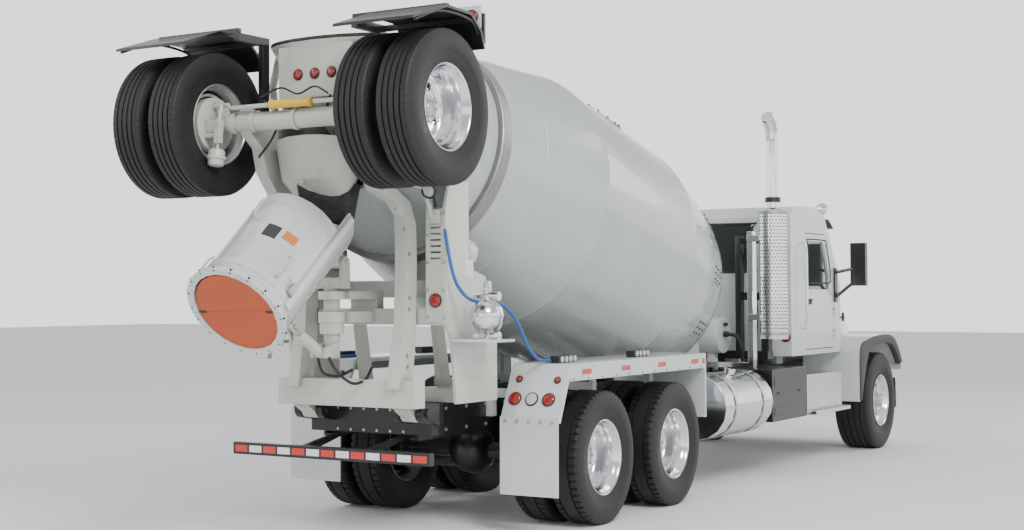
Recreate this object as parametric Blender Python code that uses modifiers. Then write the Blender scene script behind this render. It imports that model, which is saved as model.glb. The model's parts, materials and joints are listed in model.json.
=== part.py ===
"""A rear discharge concrete mixer truck with a trailing booster axle, stowed above its tail.

Frame: the cab faces -Y, +X is the vehicle's left (driver's) side, +Z is up, and the ground is z = 0.
The origin is on the ground at the centre of the box round the parked truck. All sizes are metres.
"""

import math

import bmesh
import bpy
from mathutils import Matrix, Vector

# ------------------------------------------------------------------ driving dimensions
GAP = 0.0003  # between touching pieces
PIN_SIDES = 16
BORE = 1.025  # a pin's bore over its radius, so that a pin of that many sides turns freely in it
REAR_AXLE_Y = 2.36
TANDEM_SPREAD = 1.36
WHEELBASE = 7.34  # front axle to the rear drive axle
FRONT_DRIVE_Y = REAR_AXLE_Y - TANDEM_SPREAD
FRONT_AXLE_Y = REAR_AXLE_Y - WHEELBASE

TYRE_RADIUS = 0.5295
DUAL_HALF_WIDTH = 0.3115
DUAL_X = 0.9285
RIM_RADIUS = 0.30
RIM_WELL_RADIUS = 0.26
DISC_INNER = -0.03  # inner face of the wheel disc, along the axle from the wheel's middle
WHEEL_SIDES = 20
FRONT_TYRE_RADIUS = 0.56
FRONT_HALF_WIDTH = 0.21
FRONT_X = 1.01
FRONT_DISC_INNER = 0.05
KINGPIN_X = 0.84
KINGPIN_RADIUS = 0.02

RAIL_OUT_X = 0.44
RAIL_FLANGE = 0.09
RAIL_WALL = 0.02
RAIL_TOP_Z = 1.02
RAIL_DEPTH = 0.28
RAIL_FRONT_Y = -5.50
RAIL_REAR_Y = 3.86
AXLE_TUBE_RADIUS = 0.07

DRUM_TILT = math.radians(14.1)
DRUM_MID_Y = 0.36
DRUM_MID_Z = 2.197
DRUM_RADIUS = 1.156
DRUM_WALL = 0.03
DRUM_MOUTH_AT = 3.90
DRUM_MOUTH_RADIUS = 0.62
DRUM_RING_AT = 3.07
DRUM_RING_RADIUS = 0.90
DRUM_RING_WIDTH = 0.14
DRUM_HEAD_AT = -1.42
DRUM_SIDES = 32
ROLLER_RADIUS = 0.12
ROLLER_ANGLE = math.radians(36.0)
ROLLER_LENGTH = 0.12
ROLLER_GAP = 0.005

CAB_HALF_WIDTH = 1.05
CAB_WALL = 0.05
CAB_REAR_Y = -2.39
CAB_FRONT_Y = -3.99
CAB_FLOOR_Z = 1.16
CAB_ROOF_Z = 2.75
COWL_Z = 1.90
DOOR_REAR_Y = -2.84
DOOR_FRONT_Y = -3.74
DOOR_BOTTOM_Z = 1.22
DOOR_TOP_Z = 2.46
DOOR_GAP = 0.008
HINGE_OUT = 0.0125
HINGE_AHEAD = 0.004
HINGE_RADIUS = 0.012
HINGE_HEIGHTS = (1.36, 1.60)
WINDOW_SILL_Z = 1.86
GLASS = 0.006
BUMPER_FACE_Y = -5.71
BUMPER_DEPTH = 0.035
HOOD_PIVOT_Y = -5.555
HOOD_PIN_RADIUS = 0.016
HOOD_PIVOT_Z = 0.92

DECK_TOP_Z = 1.29
DECK_OUT_X = 1.25
DECK_IN_X = 0.75
DECK_FRONT_Y = 0.38
DECK_REAR_Y = 3.00

PIVOT_X = 0.45
PIVOT_Y = 3.98
PIVOT_Z = 0.955
PIVOT_PIN_RADIUS = 0.035
BOOSTER_Y = 4.79
BOOSTER_Z = 3.08
BOOSTER_WHEEL_X = 0.9885
BOOSTER_KINGPIN_X = 0.655
BOOSTER_DEPLOY = math.radians(79.0)
ARM_IN_X = 0.40
ARM_OUT_X = 0.50

CHUTE_SLOPE = math.radians(39.0)
CHUTE_TOP_Y = 4.55  # a point on the chute's centre line, where its stations start
CHUTE_TOP_Z = 2.452
CHUTE_FROM = 0.08
CHUTE_END = 1.185
CHUTE_RADIUS = 0.345
CHUTE_WALL = 0.02
CHUTE_RING_RADIUS = 0.38
CHUTE_RING = 0.03
FOLD_LENGTH = 0.90
TILT_Y = 4.36
TILT_Z = 2.06
POST_RADIUS = 0.06
LIFT_FOOT_Y = 4.50
LIFT_FOOT_Z = 1.40
LIFT_EYE_AT = 0.80
LIFT_EYE_BELOW = 0.40
LIFT_PIN_RADIUS = 0.018
BARREL_LENGTH = 0.30

SIDES = (("left", 1), ("right", -1))

# ------------------------------------------------------------------ scene and materials
for old in list(bpy.data.objects):
    bpy.data.objects.remove(old, do_unlink=True)


def new_collection(name):
    made = bpy.data.collections.new(name)
    bpy.context.scene.collection.children.link(made)
    return made


TRUCK = new_collection("concrete_mixer_truck")
CUTTERS = new_collection("cutters")


def finish(name, colour, roughness, metallic=0.0):
    made = bpy.data.materials.new(name)
    made.use_nodes = True
    shader = made.node_tree.nodes["Principled BSDF"]
    shader.inputs["Base Color"].default_value = (*colour, 1.0)
    shader.inputs["Roughness"].default_value = roughness
    shader.inputs["Metallic"].default_value = metallic
    return made


WHITE = ((0.82, 0.83, 0.80), 0.35, 0.0)
CREAM = ((0.80, 0.79, 0.72), 0.40, 0.0)
DRUM_WHITE = ((0.68, 0.70, 0.68), 0.35, 0.0)
BLACK = ((0.02, 0.02, 0.022), 0.5, 0.0)
CHARCOAL = ((0.06, 0.06, 0.065), 0.55, 0.0)
GREY = ((0.45, 0.47, 0.49), 0.45, 0.0)
POLISHED = ((0.75, 0.76, 0.78), 0.18, 1.0)
STEEL = ((0.45, 0.45, 0.46), 0.4, 1.0)
RUBBER = ((0.02, 0.02, 0.02), 0.8, 0.0)
ORANGE = ((0.62, 0.16, 0.06), 0.5, 0.0)
GLASS_TINT = ((0.05, 0.09, 0.08), 0.05, 0.0)


# ------------------------------------------------------------------ shape tools
def keep(mesh, matrix=None):
    """Puts a mesh in the cutters' collection; part() moves the ones that are whole pieces."""
    made = bpy.data.objects.new("shape", mesh)
    if matrix is not None:
        made.matrix_world = matrix
    CUTTERS.objects.link(made)
    made.hide_render = True
    made.display_type = "WIRE"
    return made


def solid(maker, matrix=None):
    """A mesh object from a function that fills a bmesh."""
    work = bmesh.new()
    maker(work)
    mesh = bpy.data.meshes.new("shape")
    work.to_mesh(mesh)
    work.free()
    return keep(mesh, matrix)


def box(low, high):
    """A block between two corners."""
    low, high = Vector(low), Vector(high)
    size = Matrix.Diagonal((*(high - low), 1.0))

    def fill(work):
        bmesh.ops.create_cube(work, size=1.0, matrix=size)

    return solid(fill, Matrix.Translation((low + high) / 2))


def mirrored_boxes(low, high):
    """The same block on both sides of the truck."""
    low, high = Vector(low), Vector(high)
    left = box(low, high)
    right = box((-high.x, low.y, low.z), (-low.x, high.y, high.z))
    return [left, right]


def aimed(start, end):
    """A matrix at start whose Z axis points to end."""
    turn = (Vector(end) - Vector(start)).to_track_quat("Z", "Y").to_matrix().to_4x4()
    return Matrix.Translation(Vector(start)) @ turn


def rod(start, end, radius, sides=8, end_radius=None):
    """A round bar, or a cone, between two points."""
    length = (Vector(end) - Vector(start)).length
    far = radius if end_radius is None else end_radius
    middle = Matrix.Translation((0.0, 0.0, length / 2))

    def fill(work):
        bmesh.ops.create_cone(work, cap_ends=True, segments=sides, radius1=radius,
                              radius2=far, depth=length, matrix=middle)

    return solid(fill, aimed(start, end))


def ball(centre, radius, rings=8):
    def fill(work):
        bmesh.ops.create_uvsphere(work, u_segments=2 * rings, v_segments=rings, radius=radius)

    return solid(fill, Matrix.Translation(Vector(centre)))


def settled(source, outward=True):
    """The evaluated shape as a welded mesh of its own, in the place of its source."""
    bpy.context.view_layer.update()
    graph = bpy.context.evaluated_depsgraph_get()
    mesh = bpy.data.meshes.new_from_object(source.evaluated_get(graph))
    work = bmesh.new()
    work.from_mesh(mesh)
    bmesh.ops.remove_doubles(work, verts=work.verts, dist=1e-5)
    if outward:
        bmesh.ops.recalc_face_normals(work, faces=work.faces)
    work.to_mesh(mesh)
    work.free()
    made = keep(mesh, source.matrix_world.copy())
    bpy.data.objects.remove(source, do_unlink=True)
    return made


def plate(outline, low, high, across="X"):
    """A flat outline made thick between two stations along X, Y or Z.

    The outline is in (y, z) across X, in (x, z) across Y and in (x, y) across Z.
    """
    curve = bpy.data.curves.new("outline", "CURVE")
    curve.dimensions = "2D"
    curve.fill_mode = "BOTH"
    curve.extrude = (high - low) / 2
    line = curve.splines.new("POLY")
    line.points.add(len(outline) - 1)
    for point, place in zip(line.points, outline):
        point.co = (*place, 0.0, 1.0)
    line.use_cyclic_u = True
    middle = (low + high) / 2
    turns = {
        "X": Matrix(((0, 0, 1, middle), (1, 0, 0, 0), (0, 1, 0, 0), (0, 0, 0, 1))),
        "Y": Matrix(((1, 0, 0, 0), (0, 0, -1, middle), (0, 1, 0, 0), (0, 0, 0, 1))),
        "Z": Matrix.Translation((0, 0, middle)),
    }
    made = bpy.data.objects.new("outline", curve)
    CUTTERS.objects.link(made)
    made.matrix_world = turns[across]
    return settled(made)


def tube(points, radius, resolution=2):
    """A round tube through points."""
    curve = bpy.data.curves.new("tube", "CURVE")
    curve.dimensions = "3D"
    curve.bevel_depth = radius
    curve.bevel_resolution = resolution
    curve.use_fill_caps = True
    line = curve.splines.new("POLY")
    line.points.add(len(points) - 1)
    for point, place in zip(line.points, points):
        point.co = (*place, 1.0)
    made = bpy.data.objects.new("tube", curve)
    CUTTERS.objects.link(made)
    return settled(made)


def turned(profile, origin, axis, start=(0.0, 0.0, 1.0), sides=24):
    """A profile of (radius, station) points turned about an axis through the origin point."""
    axis, start = Vector(axis).normalized(), Vector(start)
    start = (start - axis * start.dot(axis)).normalized()
    frame = Matrix((start, axis.cross(start), axis)).transposed().to_4x4()

    def fill(work):
        corners = [work.verts.new((radius, 0.0, station)) for radius, station in profile]
        for first, second in zip(corners, corners[1:]):
            work.edges.new((first, second))

    made = solid(fill, Matrix.Translation(Vector(origin)) @ frame)
    screw = made.modifiers.new("turn", "SCREW")
    screw.steps = sides
    screw.render_steps = sides
    screw.use_merge_vertices = True
    screw.merge_threshold = 0.0001
    return settled(made)


def loft(rings, wall):
    """A funnel wall through rings of points, thickened outwards."""
    def fill(work):
        loops = [[work.verts.new(place) for place in ring] for ring in rings]
        for lower, upper in zip(loops, loops[1:]):
            for i in range(len(lower)):
                j = (i + 1) % len(lower)
                work.faces.new((lower[i], lower[j], upper[j], upper[i]))
        bmesh.ops.recalc_face_normals(work, faces=work.faces)

    made = solid(fill)
    shell = made.modifiers.new("wall", "SOLIDIFY")
    shell.thickness = wall
    shell.offset = 1.0
    return settled(made)


def ellipse(centre, half_x, half_y, slope=0.0, count=16):
    """Points round an ellipse whose plane leans back by slope."""
    x, y, z = centre
    ring = []
    for i in range(count):
        angle = 2 * math.pi * i / count
        along = half_y * math.sin(angle)
        ring.append((x + half_x * math.cos(angle), y + along * math.cos(slope),
                     z + along * math.sin(slope)))
    return ring


def combine(base, others, operation):
    for other in others:
        change = base.modifiers.new(operation.lower(), "BOOLEAN")
        change.operation = operation
        change.object = other
        change.solver = "EXACT"


def part(name, look, shapes, cuts=(), round_edges=0.0):
    """Joins shapes into one named piece, takes the cuts away and gives it its finish."""
    base = shapes[0]
    base.name = name
    base.data.name = name
    combine(base, shapes[1:], "UNION")
    combine(base, cuts, "DIFFERENCE")
    if round_edges:
        edge = base.modifiers.new("edge", "BEVEL")
        edge.width = round_edges
        edge.segments = 1
        edge.limit_method = "ANGLE"
    CUTTERS.objects.unlink(base)
    TRUCK.objects.link(base)
    base.hide_render = False
    base.display_type = "TEXTURED"
    base.data.materials.clear()
    base.data.materials.append(finish(name + "_finish", *look))
    return base


def pivot(name, place, parent=None):
    """An empty on a joint's axis, which carries the pieces of its body."""
    made = bpy.data.objects.new(name, None)
    TRUCK.objects.link(made)
    made.location = place
    bpy.context.view_layer.update()
    if parent:
        carry(parent, made)
    return made


def carry(holder, *pieces):
    bpy.context.view_layer.update()
    for piece in pieces:
        piece.parent = holder
        piece.matrix_parent_inverse = holder.matrix_world.inverted()


def fan(centre, radius, first, last, count):
    """Points along an arc in an outline, angles in degrees."""
    return [(centre[0] + radius * math.cos(math.radians(first + (last - first) * i / (count - 1))),
             centre[1] + radius * math.sin(math.radians(first + (last - first) * i / (count - 1))))
            for i in range(count)]


# ------------------------------------------------------------------ wheels
def wheel_start(count):
    """A start direction that leaves a flat of the many-sided tyre at the bottom."""
    return Matrix.Rotation(math.pi / count, 3, "X") @ Vector((0.0, 0.0, 1.0))


def dual_wheel(name, centre, side):
    """Two tyres on their rims, bolted back to back on one hub. Stations run outwards."""
    out = TYRE_RADIUS / math.cos(math.pi / WHEEL_SIDES)
    bulge, half = 0.43, DUAL_HALF_WIDTH
    profile = [(0.0, 0.13), (0.09, 0.13), (0.10, 0.045), (RIM_WELL_RADIUS, 0.04), (RIM_RADIUS, 0.29),
               (bulge, half), (out, 0.25), (out, 0.05), (bulge, 0.033), (0.31, 0.04),
               (0.31, -0.04), (bulge, -0.033), (out, -0.05), (out, -0.25), (bulge, -half),
               (RIM_RADIUS, -0.29), (RIM_WELL_RADIUS, DISC_INNER), (0.0, DISC_INNER)]
    shape = turned(profile, centre, (side, 0, 0), wheel_start(WHEEL_SIDES), WHEEL_SIDES)
    return part(name, RUBBER, [shape])


def front_wheel(name, centre, side):
    out = FRONT_TYRE_RADIUS / math.cos(math.pi / WHEEL_SIDES)
    half = FRONT_HALF_WIDTH
    profile = [(0.0, 0.20), (0.07, 0.20), (0.09, 0.10), (0.25, 0.09), (RIM_RADIUS, 0.19),
               (0.45, half), (out, 0.165), (out, -0.165), (0.45, -half), (RIM_RADIUS, -0.19),
               (0.265, -0.19), (0.265, FRONT_DISC_INNER), (0.0, FRONT_DISC_INNER)]
    shape = turned(profile, centre, (side, 0, 0), wheel_start(WHEEL_SIDES), WHEEL_SIDES)
    return part(name, RUBBER, [shape])


# ------------------------------------------------------------------ chassis
def make_frame():
    top, low = RAIL_TOP_Z, RAIL_TOP_Z - RAIL_DEPTH
    out, inn, wall = RAIL_OUT_X, RAIL_OUT_X - RAIL_FLANGE, RAIL_WALL
    shapes = []
    for side in (1, -1):
        channel = [(side * out, low), (side * out, top), (side * inn, top), (side * inn, top - wall),
                   (side * (out - wall), top - wall), (side * (out - wall), low + wall),
                   (side * inn, low + wall), (side * inn, low)]
        shapes.append(plate(channel, RAIL_FRONT_Y, RAIL_REAR_Y, "Y"))
    web = out - wall / 2
    for y in (-5.42, -2.9, -1.2, 0.0, 1.68, 3.0):
        shapes.append(box((-web, y - 0.04, low + 0.13), (web, y + 0.04, top - 0.05)))
    lug_end = PIVOT_X + 0.10
    shapes.append(box((-lug_end, RAIL_REAR_Y - 0.16, low + 0.04),
                      (lug_end, RAIL_REAR_Y + 0.01, top - 0.004)))
    nose = fan((PIVOT_Y, PIVOT_Z), 0.075, -90, 90, 7)
    lug = [(RAIL_REAR_Y - 0.05, PIVOT_Z + 0.06)] + [(RAIL_REAR_Y - 0.05, PIVOT_Z - 0.10)] + nose
    for side in (1, -1):
        shapes.append(rod((side * (PIVOT_X - 0.15), PIVOT_Y, PIVOT_Z),
                          (side * (PIVOT_X + 0.15), PIVOT_Y, PIVOT_Z), PIVOT_PIN_RADIUS, PIN_SIDES))
        for inner in (PIVOT_X - 0.13, PIVOT_X + 0.075):
            ends = sorted((side * inner, side * (inner + 0.055)))
            shapes.append(plate(lug, ends[0], ends[1]))
    ear = [(RAIL_FRONT_Y + 0.03, 0.985), (HOOD_PIVOT_Y, HOOD_PIVOT_Z + 0.035)]
    ear += fan((HOOD_PIVOT_Y, HOOD_PIVOT_Z), 0.035, 120, 240, 5) + [(HOOD_PIVOT_Y, HOOD_PIVOT_Z - 0.035)]
    ear += [(RAIL_FRONT_Y + 0.03, 0.855)]
    bores = []
    for side in (1, -1):
        ends = sorted((side * (out - 0.035), side * (out - 0.008)))
        shapes.append(plate(ear, ends[0], ends[1]))
        bores.append(rod((side * 0.35, HOOD_PIVOT_Y, HOOD_PIVOT_Z),
                         (side * 0.5, HOOD_PIVOT_Y, HOOD_PIVOT_Z),
                         HOOD_PIN_RADIUS * BORE, PIN_SIDES))
    return part("frame", BLACK, shapes, bores)


def make_underride_bar():
    y, z = 4.39, 0.67
    shapes = [box((-0.88, y - 0.03, z - 0.045), (0.88, y + 0.03, z + 0.045))]
    top = RAIL_TOP_Z - RAIL_DEPTH + 0.04 - GAP
    for side in (1, -1):
        brace = [(RAIL_REAR_Y - 0.15, top), (RAIL_REAR_Y - 0.02, top), (y, z + 0.03), (y, z - 0.04)]
        ends = sorted((side * 0.27, side * 0.31))
        shapes.append(plate(brace, ends[0], ends[1]))
    return part("underride_bar", BLACK, shapes)


def drive_axle(name, y):
    z = TYRE_RADIUS
    disc = DUAL_X + DISC_INNER - GAP
    shapes = [rod((-0.60, y, z), (0.60, y, z), AXLE_TUBE_RADIUS, 8), ball((0.0, y, z), 0.20, 6)]
    for side in (1, -1):
        shapes.append(rod((side * 0.59, y, z), (side * 0.66, y, z), 0.20, 12))
        shapes.append(rod((side * 0.64, y, z), (side * disc, y, z), 0.05, 8))
    return part(name, BLACK, shapes)


def make_walking_beams():
    top = TYRE_RADIUS - AXLE_TUBE_RADIUS - GAP
    middle = (REAR_AXLE_Y + FRONT_DRIVE_Y) / 2
    rail_low = RAIL_TOP_Z - RAIL_DEPTH - GAP
    shapes = [rod((-0.50, middle, top - 0.07), (0.50, middle, top - 0.07), 0.05, 8)]
    for low, high in ((0.46, 0.56), (-0.56, -0.46)):
        beam = [(FRONT_DRIVE_Y - 0.08, top), (FRONT_DRIVE_Y - 0.08, top - 0.08), (middle, top - 0.16),
                (REAR_AXLE_Y + 0.08, top - 0.08), (REAR_AXLE_Y + 0.08, top)]
        shapes.append(plate(beam, low, high))
    for low, high in ((0.37, 0.50), (-0.50, -0.37)):
        saddle = [(middle - 0.07, top - 0.10), (middle + 0.07, top - 0.10), (middle + 0.16, rail_low),
                  (middle - 0.16, rail_low)]
        shapes.append(plate(saddle, low, high))
    return part("walking_beams", BLACK, shapes)


def make_front_axle():
    y, z = FRONT_AXLE_Y, FRONT_TYRE_RADIUS
    beam = [(-0.72, 0.497), (-0.60, 0.43), (0.60, 0.43), (0.72, 0.497), (0.825, 0.503), (0.825, 0.61),
            (0.70, 0.61), (0.58, 0.53), (-0.58, 0.53), (-0.70, 0.61), (-0.825, 0.61), (-0.825, 0.503)]
    shapes = [plate(beam, y - 0.05, y + 0.05, "Y")]
    for side in (1, -1):
        at = (side * KINGPIN_X, y)
        shapes.append(rod((*at, z - 0.09), (*at, z + 0.09), 0.055, 8))
        shapes.append(rod((*at, z - 0.145), (*at, z + 0.145), KINGPIN_RADIUS, PIN_SIDES))
        hanger_top = RAIL_TOP_Z - RAIL_DEPTH - GAP
        spring = [(y - 0.62, hanger_top)] + [(y - 0.62, 0.66)]
        spring += [(y + 0.62 * t, 0.515 + 0.145 * t * t) for t in (-0.7, -0.35, 0.0, 0.35, 0.7)]
        spring += [(y + 0.62, 0.66), (y + 0.62, hanger_top), (y + 0.56, hanger_top), (y + 0.56, 0.70)]
        spring += [(y + 0.62 * t, 0.60 + 0.12 * t * t) for t in (0.7, 0.35, 0.0, -0.35, -0.7)]
        spring += [(y - 0.56, 0.70), (y - 0.56, hanger_top)]
        ends = sorted((side * 0.36, side * 0.43))
        shapes.append(plate(spring, ends[0], ends[1]))
    return part("front_axle", BLACK, shapes)


def front_knuckle(name, side):
    """A fork round the axle's end, with the spindle that the wheel turns on."""
    y, z, x = FRONT_AXLE_Y, FRONT_TYRE_RADIUS, KINGPIN_X
    disc = FRONT_X + FRONT_DISC_INNER - GAP
    shapes = [rod((side * (x + 0.075), y, z), (side * disc, y, z), 0.045, 8)]
    for low, high in ((z + 0.095, z + 0.145), (z - 0.145, z - 0.09 - GAP)):
        ends = sorted((side * (x - 0.045), side * (x + 0.12)))
        shapes.append(box((ends[0], y - 0.045, low), (ends[1], y + 0.045, high)))
    ends = sorted((side * (x + 0.07), side * (x + 0.12)))
    shapes.append(box((ends[0], y - 0.045, z - 0.145), (ends[1], y + 0.045, z + 0.145)))
    shapes.append(rod((side * (x + 0.10), y, z), (side * (x + 0.14), y, z), 0.19, 12))
    ends = sorted((side * (x - 0.12), side * (x + 0.03)))
    shapes.append(box((ends[0], y + 0.03, z - 0.145), (ends[1], y + 0.20, z - 0.115)))
    bore = rod((side * x, y, z - 0.2), (side * x, y, z + 0.2), KINGPIN_RADIUS * BORE, PIN_SIDES)
    return part(name, STEEL, shapes, [bore])


def make_engine():
    shapes = [box((-0.33, -5.30, 0.78), (0.33, -4.15, 1.50)), box((-0.25, -4.2, 0.72), (0.25, -3.3, 1.08))]
    seat = RAIL_TOP_Z - RAIL_DEPTH + RAIL_WALL + GAP
    shapes.append(box((-0.41, -4.9, seat), (0.41, -4.7, 0.90)))
    return part("engine_block", CHARCOAL, shapes)


def make_shafts():
    """The propeller shaft with its centre bearing, which hangs from the rails."""
    seat = RAIL_TOP_Z - RAIL_DEPTH + RAIL_WALL + GAP
    shapes = [rod((0, -3.30 + GAP, 0.79), (0, -1.0, 0.79), 0.05),
              rod((0, -1.02, 0.79), (0, FRONT_DRIVE_Y - 0.203, 0.56), 0.05),
              box((-0.41, -1.04, seat), (0.41, -0.98, 0.83))]
    return part("propeller_shaft", STEEL, shapes)


def make_bumper():
    face = BUMPER_FACE_Y
    back = face + BUMPER_DEPTH
    outline = [(-1.2, back + 0.105), (-1.2, face + 0.11), (-1.02, face), (1.02, face), (1.2, face + 0.11),
               (1.2, back + 0.105), (1.02, back), (-1.02, back)]
    shapes = [plate(outline, 0.44, 0.80, "Z")]
    shapes += mirrored_boxes((0.36, back - 0.01, 0.76), (0.43, RAIL_FRONT_Y - GAP, 0.80))
    return part("front_bumper", POLISHED, shapes)


# ------------------------------------------------------------------ cab
CAB_PROFILE = [(CAB_REAR_Y, CAB_FLOOR_Z), (CAB_REAR_Y, CAB_ROOF_Z - 0.12),
               (CAB_REAR_Y - 0.10, CAB_ROOF_Z - 0.02),
               (CAB_REAR_Y - 0.30, CAB_ROOF_Z), (-3.20, CAB_ROOF_Z), (-3.46, CAB_ROOF_Z - 0.08),
               (-3.60, CAB_ROOF_Z - 0.26), (CAB_FRONT_Y, COWL_Z), (CAB_FRONT_Y, CAB_FLOOR_Z)]


def inset(profile, wall):
    """The profile moved inwards by a wall, for a convex outline."""
    middle = Vector((sum(p[0] for p in profile), sum(p[1] for p in profile))) / len(profile)
    moved = []
    count = len(profile)
    for i in range(count):
        before, here, after = (Vector(profile[(i + k) % count]) for k in (-1, 0, 1))
        first, second = (here - before).normalized(), (after - here).normalized()
        normals = [Vector((d.y, -d.x)) for d in (first, second)]
        normals = [n if n.dot(middle - here) > 0 else -n for n in normals]
        bisector = (normals[0] + normals[1]).normalized()
        moved.append(tuple(here + bisector * wall / bisector.dot(normals[0])))
    return moved


def door_outline(grow):
    """The door's edge, larger than the panel by grow."""
    return [(DOOR_REAR_Y + grow, DOOR_BOTTOM_Z - grow), (DOOR_REAR_Y + grow, DOOR_TOP_Z + grow),
            (-3.46 - 0.6 * grow, DOOR_TOP_Z + grow), (DOOR_FRONT_Y - grow, COWL_Z + 0.03),
            (DOOR_FRONT_Y - grow, DOOR_BOTTOM_Z - grow)]


def window_outline(shrink):
    return [(DOOR_REAR_Y - 0.09 - shrink, WINDOW_SILL_Z + shrink),
            (DOOR_REAR_Y - 0.09 - shrink, DOOR_TOP_Z - 0.08 - shrink),
            (-3.42 + shrink, DOOR_TOP_Z - 0.08 - shrink), (-3.62 + shrink, WINDOW_SILL_Z + 0.14),
            (-3.62 + shrink, WINDOW_SILL_Z + shrink)]


def make_cab():
    shapes = [plate(CAB_PROFILE, -CAB_HALF_WIDTH, CAB_HALF_WIDTH)]
    hollow = plate(inset(CAB_PROFILE, CAB_WALL), -CAB_HALF_WIDTH + CAB_WALL, CAB_HALF_WIDTH - CAB_WALL)
    doorway = plate(door_outline(DOOR_GAP), -CAB_HALF_WIDTH - 0.05, CAB_HALF_WIDTH + 0.05)
    rear_light = box((-0.62, CAB_REAR_Y - 0.1, 2.06), (0.62, CAB_REAR_Y + 0.1, 2.55))
    screen = box((-0.93, -4.02, 1.98), (0.93, -3.55, 2.44))
    mount = mirrored_boxes((0.36, -3.8, RAIL_TOP_Z + GAP), (0.44, -3.6, CAB_FLOOR_Z + 0.01))
    mount += mirrored_boxes((0.36, -2.6, RAIL_TOP_Z + GAP), (0.44, -2.45, CAB_FLOOR_Z + 0.01))
    roof_front = CAB_ROOF_Z - 0.22
    visor = [(-3.56, roof_front), (-3.75, roof_front - 0.05), (-3.80, roof_front - 0.13),
             (-3.78, roof_front - 0.13),
             (-3.73, roof_front - 0.07), (-3.54, roof_front - 0.03)]
    mount.append(plate(visor, -0.92, 0.92))
    hinge_x, hinge_y = CAB_HALF_WIDTH + HINGE_OUT, DOOR_FRONT_Y - HINGE_AHEAD
    for side in (1, -1):
        for z in HINGE_HEIGHTS:
            low = z + 0.03 + GAP
            mount.append(rod((side * hinge_x, hinge_y, low), (side * hinge_x, hinge_y, low + 0.03),
                             HINGE_RADIUS))
            strap = sorted((side * (CAB_HALF_WIDTH - 0.004), side * (CAB_HALF_WIDTH + 0.008)))
            mount.append(box((strap[0], hinge_y - 0.04, low + 0.003),
                             (strap[1], hinge_y - 0.001, low + 0.026)))
    return part("cab_shell", WHITE, shapes + mount, [hollow, doorway, rear_light, screen])


def make_windshield():
    lean = math.atan2(0.39, CAB_ROOF_Z - 0.26 - COWL_Z)
    middle = Vector((0.0, -3.795 + CAB_WALL / 2, 2.21))
    half = (0.93 - GAP, GLASS / 2, 0.262)
    pane = box([-c for c in half], half)
    pane.matrix_world = Matrix.Translation(middle) @ Matrix.Rotation(-lean, 4, "X")
    return part("windshield", GLASS_TINT, [pane])


def make_rear_window():
    y = CAB_REAR_Y - CAB_WALL / 2
    pane = box((-0.62 + GAP, y - GLASS / 2, 2.06 + GAP), (0.62 - GAP, y + GLASS / 2, 2.55 - GAP))
    return part("rear_window", GLASS_TINT, [pane])


def make_door(name, side):
    ends = sorted((side * (CAB_HALF_WIDTH - CAB_WALL), side * CAB_HALF_WIDTH))
    skin = plate(door_outline(0.0), *ends)
    shapes = [skin]
    hinge_x, hinge_y = CAB_HALF_WIDTH + HINGE_OUT, DOOR_FRONT_Y - HINGE_AHEAD
    for z in HINGE_HEIGHTS:
        shapes.append(rod((side * hinge_x, hinge_y, z - 0.03), (side * hinge_x, hinge_y, z + 0.03),
                          HINGE_RADIUS))
        strap = sorted((side * (CAB_HALF_WIDTH - 0.004), side * (CAB_HALF_WIDTH + 0.008)))
        shapes.append(box((strap[0], hinge_y + 0.001, z - 0.025), (strap[1], hinge_y + 0.05, z + 0.025)))
    hole = plate(window_outline(0.0), ends[0] - 0.05, ends[1] + 0.05)
    return part(name, WHITE, shapes, [hole])


def make_door_glass(name, side):
    middle = side * (CAB_HALF_WIDTH - CAB_WALL / 2)
    return part(name, GLASS_TINT, [plate(window_outline(GAP), middle - GLASS / 2, middle + GLASS / 2)])


def make_interior():
    floor = CAB_FLOOR_Z + CAB_WALL + GAP
    shapes = [box((-0.96, CAB_REAR_Y - 1.45, floor), (0.96, CAB_REAR_Y - 0.10, floor + 0.03)),
              box((-0.13, -3.87, floor + 0.004), (0.13, CAB_REAR_Y - 0.13, floor + 0.20))]
    for side in (1, -1):
        x = side * 0.52
        shapes.append(box((x - 0.20, -3.05, floor + 0.02), (x + 0.20, -2.62, floor + 0.28)))
        shapes.append(box((x - 0.25, -3.12, floor + 0.26), (x + 0.25, -2.60, floor + 0.42)))
        back = [(-2.66, floor + 0.38), (-2.52, floor + 0.38), (-2.46, floor + 1.15), (-2.56, floor + 1.15)]
        shapes.append(plate(back, x - 0.24, x + 0.24))
    dash = [(-3.93, floor + 0.45), (-3.93, COWL_Z - 0.03), (-3.70, COWL_Z - 0.03), (-3.60, COWL_Z - 0.16),
            (-3.66, floor + 0.10), (-3.80, floor + 0.10)]
    shapes.append(plate(dash, -0.95, 0.95))
    shapes.append(rod((0.52, -3.66, 1.75), (0.52, -3.385, 1.902), 0.025, 8))
    hub = Vector((0.52, -3.38, 1.905))
    toward = Vector((0.0, 0.85, 0.52)).normalized()
    shapes.append(rod(hub - toward * 0.015, hub + toward * 0.015, 0.22, 14))
    return part("cab_interior", CHARCOAL, shapes)


def make_mirror(name, side):
    """The mirror head on its arm from the cowl, with the lower brace."""
    foot = CAB_HALF_WIDTH + GAP
    ends = sorted((side * 1.20, side * 1.37))
    shapes = [box((ends[0], -3.97, 1.90), (ends[1], -3.89, 2.38))]
    for y_foot, z_foot, z_head in ((-3.80, 2.05, 2.10), (-3.80, 1.78, 1.96)):
        shapes.append(rod((side * (foot + 0.016), y_foot, z_foot), (side * 1.25, -3.93, z_head), 0.018, 8))
    pad = sorted((side * foot, side * (foot + 0.02)))
    shapes.append(box((pad[0], -3.84, 1.72), (pad[1], -3.755, 2.10)))
    return part(name, BLACK, shapes)


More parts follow.
